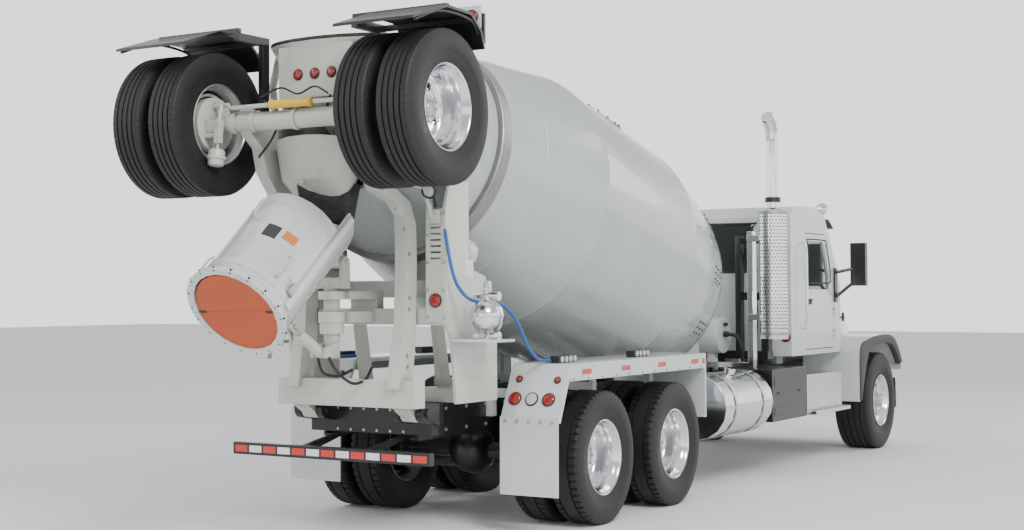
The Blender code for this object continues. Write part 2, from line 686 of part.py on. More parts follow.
def make_hood():
    """The bonnet, with its fenders and grille, tips forward on its nose."""
    back, nose = CAB_FRONT_Y - 0.012, -5.64
    floor_z = 0.90
    wall = 0.03

    def ring(y, half, low, shoulder, top):
        side_line = [(half, low), (half, shoulder), (half - 0.12, top - 0.04), (half - 0.28, top)]
        return [(x, y, z) for x, z in side_line] + [(-x, y, z) for x, z in reversed(side_line)]

    rings = [ring(back, 0.86, 1.18, 1.62, 1.88), ring(-4.60, 0.78, 1.15, 1.58, 1.80),
             ring(-5.20, 0.70, 1.10, 1.50, 1.68), ring(nose + 0.06, 0.62, floor_z + 0.05, 1.42, 1.58),
             ring(nose, 0.58, floor_z, 1.36, 1.50)]

    def fill(work):
        loops = [[work.verts.new(place) for place in line] for line in rings]
        for first, second in zip(loops, loops[1:]):
            for i in range(len(first) - 1):
                work.faces.new((first[i], first[i + 1], second[i + 1], second[i]))
        work.faces.new(list(reversed(loops[-1])))

    skin = solid(fill)
    shell = skin.modifiers.new("wall", "SOLIDIFY")
    shell.thickness = wall
    shell.offset = -1.0
    shapes = [settled(skin)]
    axle = (FRONT_AXLE_Y, FRONT_TYRE_RADIUS)
    outer = [(back - 0.005, 0.60), (back - 0.005, 1.22),
             (-4.35, 1.30)] + [(axle[0] + 0.25, 1.335), (axle[0] - 0.2, 1.33),
            (axle[0] - 0.45, 1.23), (-5.63, 1.02), (-5.66, 0.893)]
    inner = [(-5.63, 0.893), (-5.60, 1.00), (axle[0] - 0.43, 1.19), (axle[0] - 0.2, 1.285),
             (axle[0] + 0.25, 1.29),
             (-4.38, 1.25), (-4.10, 1.05), (-4.04, 0.60)]
    for side in (1, -1):
        ends = sorted((side * 0.60, side * 1.25))
        shapes.append(plate(outer + inner, ends[0], ends[1]))
        ear = [(-5.652, 0.90), (HOOD_PIVOT_Y + 0.02, 0.90), (HOOD_PIVOT_Y + 0.02, 0.94), (-5.602, 0.944),
               (-5.608, 1.0), (-5.645, 1.0)]
        ends = sorted((side * 0.61, side * 0.635))
        shapes.append(plate(ear, ends[0], ends[1]))
        shapes.append(rod((side * 0.385, HOOD_PIVOT_Y, HOOD_PIVOT_Z),
                          (side * 0.625, HOOD_PIVOT_Y, HOOD_PIVOT_Z),
                          HOOD_PIN_RADIUS, PIN_SIDES))
    return part("hood", WHITE, shapes)


def make_exhaust():
    x, y = -1.12, -1.69
    shapes = [turned([(0.0, 2.68), (0.075, 2.68), (0.14, 2.62), (0.14, 1.36), (0.0, 1.36)], (x, y, 0),
                     (0, 0, 1), (1, 0, 0), 16),
              tube([(x, y, 2.6), (x, y, 3.35), (x, y + 0.02, 3.47), (x, y + 0.07, 3.55),
                    (x, y + 0.14, 3.60)], 0.065, 2),
              box((x + 0.08, y - 0.06, 1.55), (-0.86, y + 0.06, 1.61)),
              box((x + 0.08, y - 0.06, 2.35), (-0.86, y + 0.06, 2.41)),
              box((-0.92, y - 0.05, 1.065), (-0.86, y + 0.05, 2.45)),
              box((-0.92, y - 0.05, 1.065), (-0.36, y + 0.05, 1.12)),
              box((-0.44, y - 0.05, RAIL_TOP_Z + GAP), (-0.36, y + 0.05, 1.10))]
    return part("exhaust_stack", POLISHED, shapes)


def make_rack():
    """The upright hose and valve rack between the cab and the drum."""
    y = -2.12
    low = RAIL_TOP_Z + GAP
    shapes = [box((-0.92, y - 0.05, 1.20), (-0.84, y + 0.05, 2.42)),
              box((-0.62, y - 0.05, 1.20), (-0.56, y + 0.05, 2.42)),
              box((-0.90, y - 0.04, 2.34), (-0.58, y + 0.04, 2.40)),
              box((-0.90, y - 0.04, 1.75), (-0.58, y + 0.04, 1.83)),
              box((-0.92, y - 0.08, 1.14), (0.50, y + 0.08, 1.22)),
              box((-0.44, y - 0.08, low), (-0.36, y + 0.08, 1.18)),
              box((0.36, y - 0.08, low), (0.44, y + 0.08, 1.18))]
    return part("hose_rack", BLACK, shapes)


def side_tank(name, side, front, rear):
    x = side * 0.92
    shapes = [rod((x, front, 0.76), (x, rear, 0.76), 0.31, 16)]
    for y in (front + 0.15, rear - 0.15):
        ends = sorted((side * (RAIL_OUT_X + GAP), x - side * 0.07))
        shapes.append(box((ends[0], y - 0.04, 0.775), (ends[1], y + 0.04, 0.85)))
    return part(name, POLISHED, shapes)


def side_box(name, side, front, rear, low, high, look, outer=1.18):
    ends = sorted((side * 0.62, side * outer))
    shapes = [box((ends[0], front, low), (ends[1], rear, high))]
    inner = sorted((side * (RAIL_OUT_X + GAP), side * 0.64))
    for y in (front + 0.12, rear - 0.12):
        shapes.append(box((inner[0], y - 0.03, 0.80), (inner[1], y + 0.03, 0.90)))
    return part(name, look, shapes)


def make_step(name, side):
    """The polished step box below the door, with its two treads."""
    ends = sorted((side * 0.62, side * 1.16))
    shapes = [box((ends[0], -3.66, 0.56), (ends[1], -2.54, 0.96))]
    tread = sorted((side * 1.10, side * 1.24))
    shapes.append(box((tread[0], -3.72, 0.54), (tread[1], -2.60, 0.58)))
    inner = sorted((side * (RAIL_OUT_X + GAP), side * 0.64))
    for y in (-3.5, -2.7):
        shapes.append(box((inner[0], y - 0.03, 0.80), (inner[1], y + 0.03, 0.90)))
    return part(name, POLISHED, shapes)


def make_water_tank():
    y, z = -1.82, 1.39
    shapes = [rod((-0.53, y, z), (0.53, y, z), 0.19, 16)]
    shapes += mirrored_boxes((0.36, y - 0.06, RAIL_TOP_Z + GAP), (0.44, y + 0.04, z - 0.1))
    return part("water_tank", WHITE, shapes)


def make_air_tank():
    x, y = -0.80, 0.10
    shapes = [rod((x - 0.26, y, 0.93), (x + 0.26, y, 0.93), 0.14, 12),
              box((x, y - 0.03, 0.80), (-RAIL_OUT_X - GAP, y + 0.03, 0.90))]
    return part("air_tank", WHITE, shapes)


# ------------------------------------------------------------------ drum and its stands
def on_drum(station, radius=0.0, angle=0.0):
    """A point of the drum: station along its axis, then out from the axis, angle 0 straight down."""
    down = Vector((0.0, math.sin(DRUM_TILT), -math.cos(DRUM_TILT)))
    along = Vector((0.0, math.cos(DRUM_TILT), math.sin(DRUM_TILT)))
    out = down * math.cos(angle) + Vector((1.0, 0.0, 0.0)) * math.sin(angle)
    return Vector((0.0, DRUM_MID_Y, DRUM_MID_Z)) + along * station + out * radius


DRUM_AXIS = (0.0, math.cos(DRUM_TILT), math.sin(DRUM_TILT))
DRUM_OUTLINE = [(DRUM_MOUTH_RADIUS, DRUM_MOUTH_AT), (0.853, DRUM_RING_AT + DRUM_RING_WIDTH / 2),
                (0.972, 2.57), (1.141, 1.80), (DRUM_RADIUS, 0.0), (1.078, -0.55), (0.96, -1.12),
                (0.80, -1.20)]


def make_drum():
    """A hollow vessel: the outline runs from the mouth to the head, then back along the inside."""
    ring, half = DRUM_RING_RADIUS, DRUM_RING_WIDTH / 2
    outer = [DRUM_OUTLINE[0], (DRUM_OUTLINE[1][0], DRUM_RING_AT + half), (ring, DRUM_RING_AT + half),
             (ring, DRUM_RING_AT - half), (0.885, DRUM_RING_AT - half)] + DRUM_OUTLINE[2:]
    boss = [(0.12, -1.20), (0.10, DRUM_HEAD_AT), (0.0, DRUM_HEAD_AT)]
    inside = [(radius - DRUM_WALL, station + (DRUM_WALL if station < -1 else 0.0)) for radius,
              station in DRUM_OUTLINE]
    profile = [(0.0, inside[-1][1])] + list(reversed(inside)) + outer + boss
    shape = turned(list(reversed(profile)), (0.0, DRUM_MID_Y, DRUM_MID_Z), DRUM_AXIS, (0, 0, 1), DRUM_SIDES)
    return part("drum", DRUM_WHITE, [shape])


def roller_centre(side, station=DRUM_RING_AT):
    return on_drum(station, DRUM_RING_RADIUS + ROLLER_RADIUS + ROLLER_GAP, side * ROLLER_ANGLE)


def make_front_pedestal():
    """The stand and gearbox that hold the drum's head."""
    face = on_drum(DRUM_HEAD_AT) - Vector(DRUM_AXIS) * GAP
    back = face - Vector(DRUM_AXIS) * 0.34
    shapes = [rod(face, back, 0.22, 16)]
    y = (face.y + back.y) / 2
    for low, high in ((0.36, 0.44), (-0.44, -0.36)):
        leg = [(y - 0.22, RAIL_TOP_Z + GAP), (y + 0.16, RAIL_TOP_Z + GAP), (y + 0.07, 1.80),
               (y - 0.13, 1.80)]
        shapes.append(plate(leg, low, high))
    shapes.append(box((-0.43, y - 0.11, 1.50), (0.43, y + 0.06, 1.70)))
    return part("front_pedestal", WHITE, shapes)


def make_rear_pedestal():
    top = RAIL_TOP_Z + GAP
    shapes, cuts = [], []
    side_panel = [(3.25, top), (3.84, top), (3.90, 1.5), (3.99, 1.62), (3.99, 2.45), (3.92, 2.66),
                  (3.66, 2.66),
                  (3.66, 2.02), (3.42, 1.96), (3.25, 1.5)]
    for side in (1, -1):
        ends = sorted((side * 0.725, side * 0.75))
        shapes.append(plate(side_panel, ends[0], ends[1]))
        ends = sorted((side * 0.58, side * 0.745))
        shapes.append(box((ends[0], 3.965, 1.62), (ends[1], 3.99, 2.45)))
        for i in range(8):
            z = 2.08 + 0.045 * i
            louver = sorted((side * 0.62, side * 0.71))
            cuts.append(box((louver[0], 3.9, z), (louver[1], 4.1, z + 0.014)))
        foot = sorted((side * 0.30, side * 0.74))
        shapes.append(box((foot[0], 3.30, top), (foot[1], 3.70, top + 0.10)))
    shapes.append(box((-0.74, 3.44, 1.80), (0.74, 3.62, 1.93)))
    shapes.append(box((-0.74, 3.80, 1.60), (0.74, 3.98, 1.72)))
    shapes.append(box((-0.12, 3.90, 1.62), (0.12, 4.30, 1.70)))
    shapes.append(box((-0.12, 3.90, 1.79), (0.12, 4.30, 1.85)))
    shapes.append(box((-0.12, 3.86, 1.62), (0.12, 3.95, 1.85)))
    for low, high in ((1.62, 1.70), (1.79, 1.85)):
        shapes.append(rod((0, TILT_Y, low), (0, TILT_Y, high), POST_RADIUS + 0.04, 16))
    cuts.append(rod((0, TILT_Y, 1.5), (0, TILT_Y, 2.0), POST_RADIUS + 0.003, 16))
    for side in (1, -1):
        for offset in (-0.085, 0.085):
            centre = roller_centre(side, DRUM_RING_AT + offset)
            cheek_low, cheek_high = centre.y - 0.012, centre.y + 0.012
            cheek = [(centre.x - 0.07, 1.86), (centre.x + 0.07, 1.86), (centre.x + 0.05, centre.z + 0.04),
                     (centre.x - 0.05, centre.z + 0.04)]
            shapes.append(plate(cheek, cheek_low, cheek_high, "Y"))
        shapes.append(rod(roller_centre(side, DRUM_RING_AT - 0.11),
                          roller_centre(side, DRUM_RING_AT + 0.11), 0.03, 8))
        half = ROLLER_LENGTH / 2
        shapes.append(rod(roller_centre(side, DRUM_RING_AT - half),
                          roller_centre(side, DRUM_RING_AT + half), ROLLER_RADIUS, 16))
        brace = [(3.30, top + 0.02), (3.45, top + 0.02), (3.60, 1.85), (3.48, 1.85)]
        ends = sorted((side * 0.34, side * 0.38))
        shapes.append(plate(brace, ends[0], ends[1]))
    return part("rear_pedestal", CREAM, shapes, cuts)


def make_hopper():
    """The charging hopper above the drum's mouth, held by two legs from the pedestal's columns."""
    rings = [ellipse((0, 3.98, 3.02), 0.24, 0.20, 0.9), ellipse((0, 4.27, 3.32), 0.34, 0.20, 0.35),
             ellipse((0, 4.34, 3.68), 0.53, 0.24)]
    shapes = [loft(rings, 0.02), box((-0.33, 4.545, 3.26), (0.33, 4.565, 3.64)),
              box((-0.30, 4.47, 3.40), (0.30, 4.55, 3.43))]
    for side in (1, -1):
        ends = sorted((side * 0.70, side * 0.78))
        shapes.append(box((ends[0], 3.82, 2.66 + GAP), (ends[1], 3.91, 2.72)))
        shapes.append(tube([(side * 0.74, 3.865, 2.70), (side * 0.80, 3.97, 3.05),
                            (side * 0.72, 4.14, 3.42),
                            (side * 0.51, 4.32, 3.63)], 0.03, 1))
    return part("charge_hopper", CREAM, shapes)


def make_collector():
    """The funnel below the drum's mouth that feeds the chute."""
    rings = [ellipse((0, 4.475, 2.50), 0.17, 0.11), ellipse((0, 4.51, 2.66), 0.30, 0.165),
             ellipse((0, 4.50, 2.92), 0.36, 0.21, 0.25)]
    shapes = [loft(rings, 0.015)]
    for side in (1, -1):
        shapes.append(tube([(side * 0.655, 4.015, 2.38), (side * 0.62, 4.07, 2.60),
                            (side * 0.27, 4.42, 2.74)], 0.022, 1))
        shapes.append(box((side * 0.66 - 0.05, 3.99 + GAP, 2.34), (side * 0.66 + 0.05, 4.03, 2.44)))
    return part("collector_funnel", CREAM, shapes)


def make_deck(name, side):
    """The tandem's fender and walking deck, with its sloping rear lamp panel."""
    top, wall = DECK_TOP_Z, 0.03
    front, rear = DECK_FRONT_Y, DECK_REAR_Y
    outline = [(front, 0.72), (front, top), (rear, top), (rear + 0.21, 0.86), (rear + 0.17, 0.85),
               (rear - 0.02, top - wall), (front + wall, top - wall), (front + wall, 0.72)]
    ends = sorted((side * DECK_IN_X, side * DECK_OUT_X))
    shapes = [plate(outline, ends[0], ends[1])]
    apron = sorted((side * (DECK_OUT_X - 0.015), side * DECK_OUT_X))
    shapes.append(box((apron[0], front, top - 0.13), (apron[1], rear, top)))
    for y in (0.55, 1.68, 2.85):
        foot = sorted((side * (RAIL_OUT_X + GAP), side * (RAIL_OUT_X + 0.05)))
        arm = sorted((side * (RAIL_OUT_X + GAP), side * (DECK_IN_X + 0.04)))
        upright = sorted((side * DECK_IN_X, side * (DECK_IN_X + 0.04)))
        shapes.append(box((foot[0], y - 0.04, 0.86), (foot[1], y + 0.04, 1.07)))
        shapes.append(box((arm[0], y - 0.035, 1.01), (arm[1], y + 0.035, 1.08)))
        shapes.append(box((upright[0] + 0.001, y - 0.03, 1.02), (upright[1] - 0.001, y + 0.03, top - 0.01)))
    flap = [(rear + 0.20, 0.89), (rear + 0.206, 0.30), (rear + 0.216, 0.30), (rear + 0.212, 0.89)]
    shapes.append(plate(flap, ends[0], ends[1]))
    return part(name, WHITE, shapes)


def make_pump():
    """The air-driven diaphragm pump on its shelf beside the right column."""
    x, y = -1.0, 3.82
    floor = 1.50
    shapes = [plate([(-0.75 - GAP, 3.40), (-0.75 - GAP, 3.95), (-1.16, 3.92), (-1.16, 3.70)], floor - 0.02,
                    floor, "Z"),
              ball((x + 0.02, y - 0.06, floor + 0.17), 0.115, 6),
              ball((x - 0.02, y + 0.06, floor + 0.17), 0.115, 6),
              rod((x - 0.10, y, floor + 0.02), (x + 0.10, y, floor + 0.02), 0.035, 10),
              rod((x - 0.10, y, floor + 0.31), (x + 0.10, y, floor + 0.31), 0.035, 10),
              rod((x, y, floor - 0.005), (x, y, floor + 0.32), 0.045, 10),
              rod((x, y, floor + 0.31), (x, y, floor + 0.42), 0.03, 10)]
    return part("water_pump", POLISHED, shapes)


def make_ladder():
    """The inspection ladder on the left of the rear pedestal."""
    x = 0.98
    shapes = []
    for y in (3.55, 3.85):
        shapes.append(tube([(x, y, 1.32), (x, y, 2.62), (x - 0.10, y, 2.70)], 0.018, 2))
    for z in (1.45, 1.75, 2.05, 2.35):
        shapes.append(rod((x, 3.55, z), (x, 3.85, z), 0.014, 8))
    for z in (1.60, 2.20):
        shapes.append(rod((0.75 + GAP, 3.85, z), (x, 3.85, z), 0.015, 8))
    return part("ladder", GREY, shapes)


# ------------------------------------------------------------------ discharge chute
CHUTE_ALONG = Vector((0.0, math.cos(CHUTE_SLOPE), -math.sin(CHUTE_SLOPE)))
CHUTE_UP = Vector((0.0, math.sin(CHUTE_SLOPE), math.cos(CHUTE_SLOPE)))


def on_chute(station, height, x=0.0):
    return Vector((x, CHUTE_TOP_Y, CHUTE_TOP_Z)) + CHUTE_ALONG * station + CHUTE_UP * height


CHUTE_FRAME = Matrix((Vector((1, 0, 0)), CHUTE_ALONG, CHUTE_UP)).transposed().to_4x4()
CHUTE_FRAME.translation = on_chute(0.0, 0.0)


def flanged_half(first, upper):
    """Half the chute with the flange at its end: a turned pipe, cut along its middle."""
    inner, outer, ring = CHUTE_RADIUS - CHUTE_WALL, CHUTE_RADIUS, CHUTE_RING_RADIUS
    neck = CHUTE_END - CHUTE_RING
    profile = [(ring, CHUTE_END), (ring, neck), (outer, neck), (outer, first), (inner, first),
               (inner, CHUTE_END),
               (ring, CHUTE_END)]
    pipe = turned(profile, (0, 0, 0), (0, 1, 0), (0, 0, 1), 24)
    low, high = (-0.5, 0.0) if upper else (0.0, 0.5)
    combine(pipe, [box((-0.5, first - 0.1, low), (0.5, CHUTE_END + 0.1, high))], "DIFFERENCE")
    return settled(pipe)


def chute_piece(name, look, shapes, cuts=()):
    """Joins shapes in the chute's own frame, then lays the piece along the chute."""
    combine(shapes[0], shapes[1:], "UNION")
    combine(shapes[0], cuts, "DIFFERENCE")
    joined = settled(shapes[0])
    joined.data.transform(joined.matrix_world)
    joined.matrix_world = CHUTE_FRAME
    return part(name, look, [joined])


def make_turntable():
    """The swing post, with the fork for the chute and the foot for its lift cylinder."""
    shapes = [rod((0, TILT_Y, 1.36), (0, TILT_Y, 1.95), POST_RADIUS, 16),
              rod((0, TILT_Y, 1.54), (0, TILT_Y, 1.62 - GAP), POST_RADIUS + 0.03, 16),
              box((-0.13, TILT_Y - 0.05, 1.87), (0.13, TILT_Y + 0.05, 1.95))]
    for low, high in ((0.10, 0.13), (-0.13, -0.10)):
        cheek = [(TILT_Y - 0.05, 1.88), (TILT_Y + 0.05, 1.88)] + fan((TILT_Y, TILT_Z), 0.045, 0, 180, 6)
        shapes.append(plate(cheek, low, high))
    shapes.append(rod((-0.14, TILT_Y, TILT_Z), (0.14, TILT_Y, TILT_Z), LIFT_PIN_RADIUS, PIN_SIDES))
    for low, high in ((0.045, 0.07), (-0.07, -0.045)):
        shapes.append(plate([(TILT_Y, 1.37), (TILT_Y, 1.48), (LIFT_FOOT_Y + 0.03, 1.44),
                             (LIFT_FOOT_Y + 0.03, 1.37)], low, high))
    shapes.append(rod((-0.075, LIFT_FOOT_Y, LIFT_FOOT_Z), (0.075, LIFT_FOOT_Y, LIFT_FOOT_Z),
                      LIFT_PIN_RADIUS, PIN_SIDES))
    return part("chute_turntable", CREAM, shapes)


def in_chute_frame(y, z):
    """A point of the truck's middle plane as (station, height) of the chute."""
    offset = Vector((0.0, y - CHUTE_TOP_Y, z - CHUTE_TOP_Z))
    return offset.dot(CHUTE_ALONG), offset.dot(CHUTE_UP)


def make_main_chute():
    """The lower half of the folded chute, with its tilt lug, keel, rod lugs and side rails."""
    end, reach = CHUTE_END, 0.095
    at, below = in_chute_frame(TILT_Y, TILT_Z)
    skin = -CHUTE_RADIUS + 0.01
    shapes = [flanged_half(CHUTE_FROM, False),
              box((-reach, at - 0.045, below), (reach, at + 0.045, skin)),
              rod((-0.9 * reach, at, below), (0.9 * reach, at, below), 0.046, 12),
              box((-0.02, 0.20, skin - 0.03), (0.02, end - 0.05, skin))]
    for inner in (0.035, -0.055):
        shapes.append(box((inner, LIFT_EYE_AT - 0.04, -LIFT_EYE_BELOW - 0.03),
                          (inner + 0.02, LIFT_EYE_AT + 0.04, -CHUTE_RADIUS + 0.015)))
    for side in (1, -1):
        rail = sorted((side * (CHUTE_RADIUS - 0.007), side * (CHUTE_RADIUS + 0.02)))
        shapes.append(box((rail[0], CHUTE_FROM + 0.02, -0.06), (rail[1], end - 0.10, -0.012)))
    pin = LIFT_PIN_RADIUS * BORE
    cuts = [rod((-0.2, at, below), (0.2, at, below), pin, PIN_SIDES),
            rod((-0.2, LIFT_EYE_AT, -LIFT_EYE_BELOW), (0.2, LIFT_EYE_AT, -LIFT_EYE_BELOW), pin, PIN_SIDES)]
    return chute_piece("main_chute", WHITE, shapes, cuts)


def make_folding_chute():
    """The fold-over chute: it lies upside down on the main chute and turns about the ring's middle."""
    half = flanged_half(CHUTE_END - FOLD_LENGTH, True)
    half.matrix_world = Matrix.Translation((0.0, -GAP, GAP)) @ half.matrix_world
    return chute_piece("folding_chute", WHITE, [half])


def make_chute_cover():
    """The orange transit cover in the chute's end ring."""
    radius = CHUTE_RADIUS - CHUTE_WALL
    seat = rod((0, CHUTE_END - 0.024, 0), (0, CHUTE_END - 0.008, 0), radius - GAP, 24)
    combine(seat, [box((-radius, CHUTE_END - 0.1, 0.0), (radius, CHUTE_END + 0.1, radius))], "DIFFERENCE")
    disc = rod((0, CHUTE_END - 0.022, 0), (0, CHUTE_END - 0.010, 0), radius - 0.012, 24)
    return chute_piece("chute_cover", ORANGE, [disc, settled(seat)])


def make_lift_barrel():
    foot, eye = Vector((0.0, LIFT_FOOT_Y, LIFT_FOOT_Z)), on_chute(LIFT_EYE_AT, -LIFT_EYE_BELOW)
    aim = (eye - foot).normalized()
    shapes = [rod(foot + aim * 0.02, foot + aim * BARREL_LENGTH, 0.04, 12),
              rod((-0.038, LIFT_FOOT_Y, LIFT_FOOT_Z), (0.038, LIFT_FOOT_Y, LIFT_FOOT_Z), 0.032, 8)]
    cuts = [rod((-0.1, LIFT_FOOT_Y, LIFT_FOOT_Z), (0.1, LIFT_FOOT_Y, LIFT_FOOT_Z), LIFT_PIN_RADIUS * BORE,
                PIN_SIDES),
            rod(foot + aim * 0.06, foot + aim * (BARREL_LENGTH + 0.01), 0.021, 8)]
    return part("chute_lift_barrel", CREAM, shapes, cuts)


def make_lift_rod():
    foot, eye = Vector((0.0, LIFT_FOOT_Y, LIFT_FOOT_Z)), on_chute(LIFT_EYE_AT, -LIFT_EYE_BELOW)
    aim = (eye - foot).normalized()
    shapes = [rod(foot + aim * 0.14, eye - aim * 0.01, 0.020, 8),
              rod(eye - Vector((0.03, 0, 0)), eye + Vector((0.03, 0, 0)), 0.026, 8)]
    return part("chute_lift_rod", POLISHED, shapes)


# ------------------------------------------------------------------ booster axle
KINGPIN_DIRECTION = Vector((0.0, -math.sin(BOOSTER_DEPLOY), math.cos(BOOSTER_DEPLOY)))


def make_booster_frame():
    arm = [(4.05, 1.14), (4.00, 1.55), (3.985, 2.05), (3.995, 2.34), (4.07, 2.50), (4.32, 2.62),
           (4.45, 2.77),
           (4.50, 2.98), (4.62, 3.14), (4.80, 3.18), (4.86, 3.10), (4.80, 3.00), (4.67, 2.90), (4.62, 2.72),
           (4.48, 2.56), (4.24, 2.49), (4.14, 2.40), (4.128, 2.22), (4.128, 1.98), (4.15, 1.60),
           (4.25, 1.14)]
    shapes = [box((-0.62, PIVOT_Y + 0.09, 1.00), (0.62, 4.20, 1.20))]
    for side in (1, -1):
        ends = sorted((side * ARM_IN_X, side * ARM_OUT_X))
        shapes.append(plate(arm, ends[0], ends[1]))
        leg = [(4.19, 1.18), (PIVOT_Y - 0.03, 1.12),
               (PIVOT_Y - 0.07, PIVOT_Z)] + fan((PIVOT_Y, PIVOT_Z), 0.07, 200, 340, 7)
        leg += [(4.19, 1.02)]
        ends = sorted((side * (PIVOT_X - 0.065), side * (PIVOT_X + 0.065)))
        shapes.append(plate(leg, ends[0], ends[1]))
    axle = (BOOSTER_Y, BOOSTER_Z)
    shapes.append(rod((-0.60, *axle), (0.60, *axle), AXLE_TUBE_RADIUS, 12))
    for side in (1, -1):
        centre = Vector((side * BOOSTER_KINGPIN_X, *axle))
        shapes.append(rod(centre - KINGPIN_DIRECTION * 0.08, centre + KINGPIN_DIRECTION * 0.08, 0.05, 8))
        shapes.append(rod(centre - KINGPIN_DIRECTION * 0.125, centre + KINGPIN_DIRECTION * 0.125,
                          KINGPIN_RADIUS, PIN_SIDES))
        shapes.append(rod((side * 0.58, *axle), centre, 0.05, 8))
    cuts = []
    for side in (1, -1):
        cuts.append(rod((side * 0.30, PIVOT_Y, PIVOT_Z), (side * 0.60, PIVOT_Y, PIVOT_Z),
                        PIVOT_PIN_RADIUS * BORE, PIN_SIDES))
    return part("booster_frame", CREAM, shapes, cuts)


def booster_knuckle(name, side):
    centre = Vector((side * BOOSTER_KINGPIN_X, BOOSTER_Y, BOOSTER_Z))
    disc = BOOSTER_WHEEL_X + DISC_INNER - GAP
    across = Vector((side, 0.0, 0.0))
    other = KINGPIN_DIRECTION.cross(across)
    frame = Matrix((across, other, KINGPIN_DIRECTION)).transposed().to_4x4()

    def block(low, high):
        made = box(low, high)
        made.matrix_world = Matrix.Translation(centre) @ frame @ made.matrix_world
        return made

    shapes = [rod(centre + across * 0.07, Vector((side * disc, BOOSTER_Y, BOOSTER_Z)), 0.05, 8),
              block((-0.045, -0.045, 0.085), (0.11, 0.045, 0.125)),
              block((-0.045, -0.045, -0.125), (0.11, 0.045, -0.08 - GAP)),
              block((0.065, -0.045, -0.125), (0.11, 0.045, 0.125)),
              rod(centre + across * 0.09, centre + across * 0.16, 0.205, 16)]
    bore = rod(centre - KINGPIN_DIRECTION * 0.2, centre + KINGPIN_DIRECTION * 0.2, KINGPIN_RADIUS * BORE,
               PIN_SIDES)
    return part(name, CREAM, shapes, [bore])


def booster_fender(name, side):
    """The fender, on a post beside the arm, that trails the wheels when the booster is down."""
    sheet = [(4.34, 3.52), (4.38, 3.64), (4.52, 3.75), (4.85, 3.76), (5.26, 3.63), (5.26, 3.61),
             (4.84, 3.74),
             (4.53, 3.73), (4.40, 3.63), (4.36, 3.52)]
    ends = sorted((side * 0.66, side * 1.30))
    shapes = [plate(sheet, ends[0], ends[1])]
    for y, z in ((4.50, 3.71), (4.80, 3.755)):
        reach = sorted((side * 0.51, side * 1.28))
        shapes.append(box((reach[0], y - 0.02, z - 0.02), (reach[1], y + 0.02, z + 0.02)))
    post = sorted((side * (ARM_OUT_X + GAP), side * (ARM_OUT_X + 0.05)))
    shapes.append(box((post[0], 4.46, 2.98), (post[1], 4.53, 3.74)))
    shapes.append(box((post[0], 4.50, 3.68), (post[1], 4.82, 3.74)))
    lamp = sorted((side * 1.06, side * 1.30))
    shapes.append(box((lamp[0], 4.335, 3.56), (lamp[1], 4.36, 3.77)))
    return part(name, BLACK, shapes)


# ------------------------------------------------------------------ assembly
make_frame()
make_underride_bar()
drive_axle("front_drive_axle", FRONT_DRIVE_Y)
drive_axle("rear_drive_axle", REAR_AXLE_Y)
make_walking_beams()
make_front_axle()
make_engine()
make_shafts()
make_bumper()
make_cab()
make_windshield()
make_rear_window()
make_interior()
make_exhaust()
make_rack()
make_water_tank()
make_air_tank()
make_front_pedestal()
make_rear_pedestal()
make_hopper()
make_collector()
make_pump()
make_ladder()
side_tank("fuel_tank_right", -1, -1.35, -0.15)
side_tank("fuel_tank_left", 1, -1.35, -0.15)
side_box("battery_box", -1, -2.46, -1.46, 0.54, 1.06, BLACK)

drum_axis = pivot("drum_axis", (0.0, DRUM_MID_Y, DRUM_MID_Z))
carry(drum_axis, make_drum())
hood_axis = pivot("hood_axis", (0.0, HOOD_PIVOT_Y, HOOD_PIVOT_Z))
carry(hood_axis, make_hood())

for name, side in SIDES:
    make_mirror("mirror_" + name, side)
    make_deck("deck_" + name, side)
    make_step("step_box_" + name, side)
    door_axis = pivot("door_axis_" + name,
                      (side * (CAB_HALF_WIDTH + HINGE_OUT), DOOR_FRONT_Y - HINGE_AHEAD, 1.8))
    carry(door_axis, make_door("door_" + name, side), make_door_glass("door_glass_" + name, side))
    steer_axis = pivot("steer_axis_" + name, (side * KINGPIN_X, FRONT_AXLE_Y, FRONT_TYRE_RADIUS))
    carry(steer_axis, front_knuckle("front_knuckle_" + name, side))
    hub = (side * FRONT_X, FRONT_AXLE_Y, FRONT_TYRE_RADIUS)
    wheel_axis = pivot("front_hub_" + name, hub, steer_axis)
    carry(wheel_axis, front_wheel("front_wheel_" + name, hub, side))
    for row, y in (("mid", FRONT_DRIVE_Y), ("rear", REAR_AXLE_Y)):
        hub = (side * DUAL_X, y, TYRE_RADIUS)
        carry(pivot(row + "_hub_" + name, hub), dual_wheel(row + "_wheels_" + name, hub, side))

swing_axis = pivot("chute_swing_axis", (0.0, TILT_Y, 1.6))
carry(swing_axis, make_turntable())
tilt_axis = pivot("chute_tilt_axis", (0.0, TILT_Y, TILT_Z), swing_axis)
carry(tilt_axis, make_main_chute(), make_chute_cover())
fold_axis = pivot("chute_fold_axis", on_chute(CHUTE_END, 0.0), tilt_axis)
carry(fold_axis, make_folding_chute())
barrel_axis = pivot("lift_barrel_axis", (0.0, LIFT_FOOT_Y, LIFT_FOOT_Z), swing_axis)
carry(barrel_axis, make_lift_barrel(), make_lift_rod())

booster_axis = pivot("booster_axis", (0.0, PIVOT_Y, PIVOT_Z))
carry(booster_axis, make_booster_frame())
for name, side in SIDES:
    carry(booster_axis, booster_fender("booster_fender_" + name, side))
    knuckle_axis = pivot("booster_steer_" + name, (side * BOOSTER_KINGPIN_X, BOOSTER_Y, BOOSTER_Z),
                         booster_axis)
    carry(knuckle_axis, booster_knuckle("booster_knuckle_" + name, side))
    hub = (side * BOOSTER_WHEEL_X, BOOSTER_Y, BOOSTER_Z)
    wheel_axis = pivot("booster_hub_" + name, hub, knuckle_axis)
    carry(wheel_axis, dual_wheel("booster_wheels_" + name, hub, side))
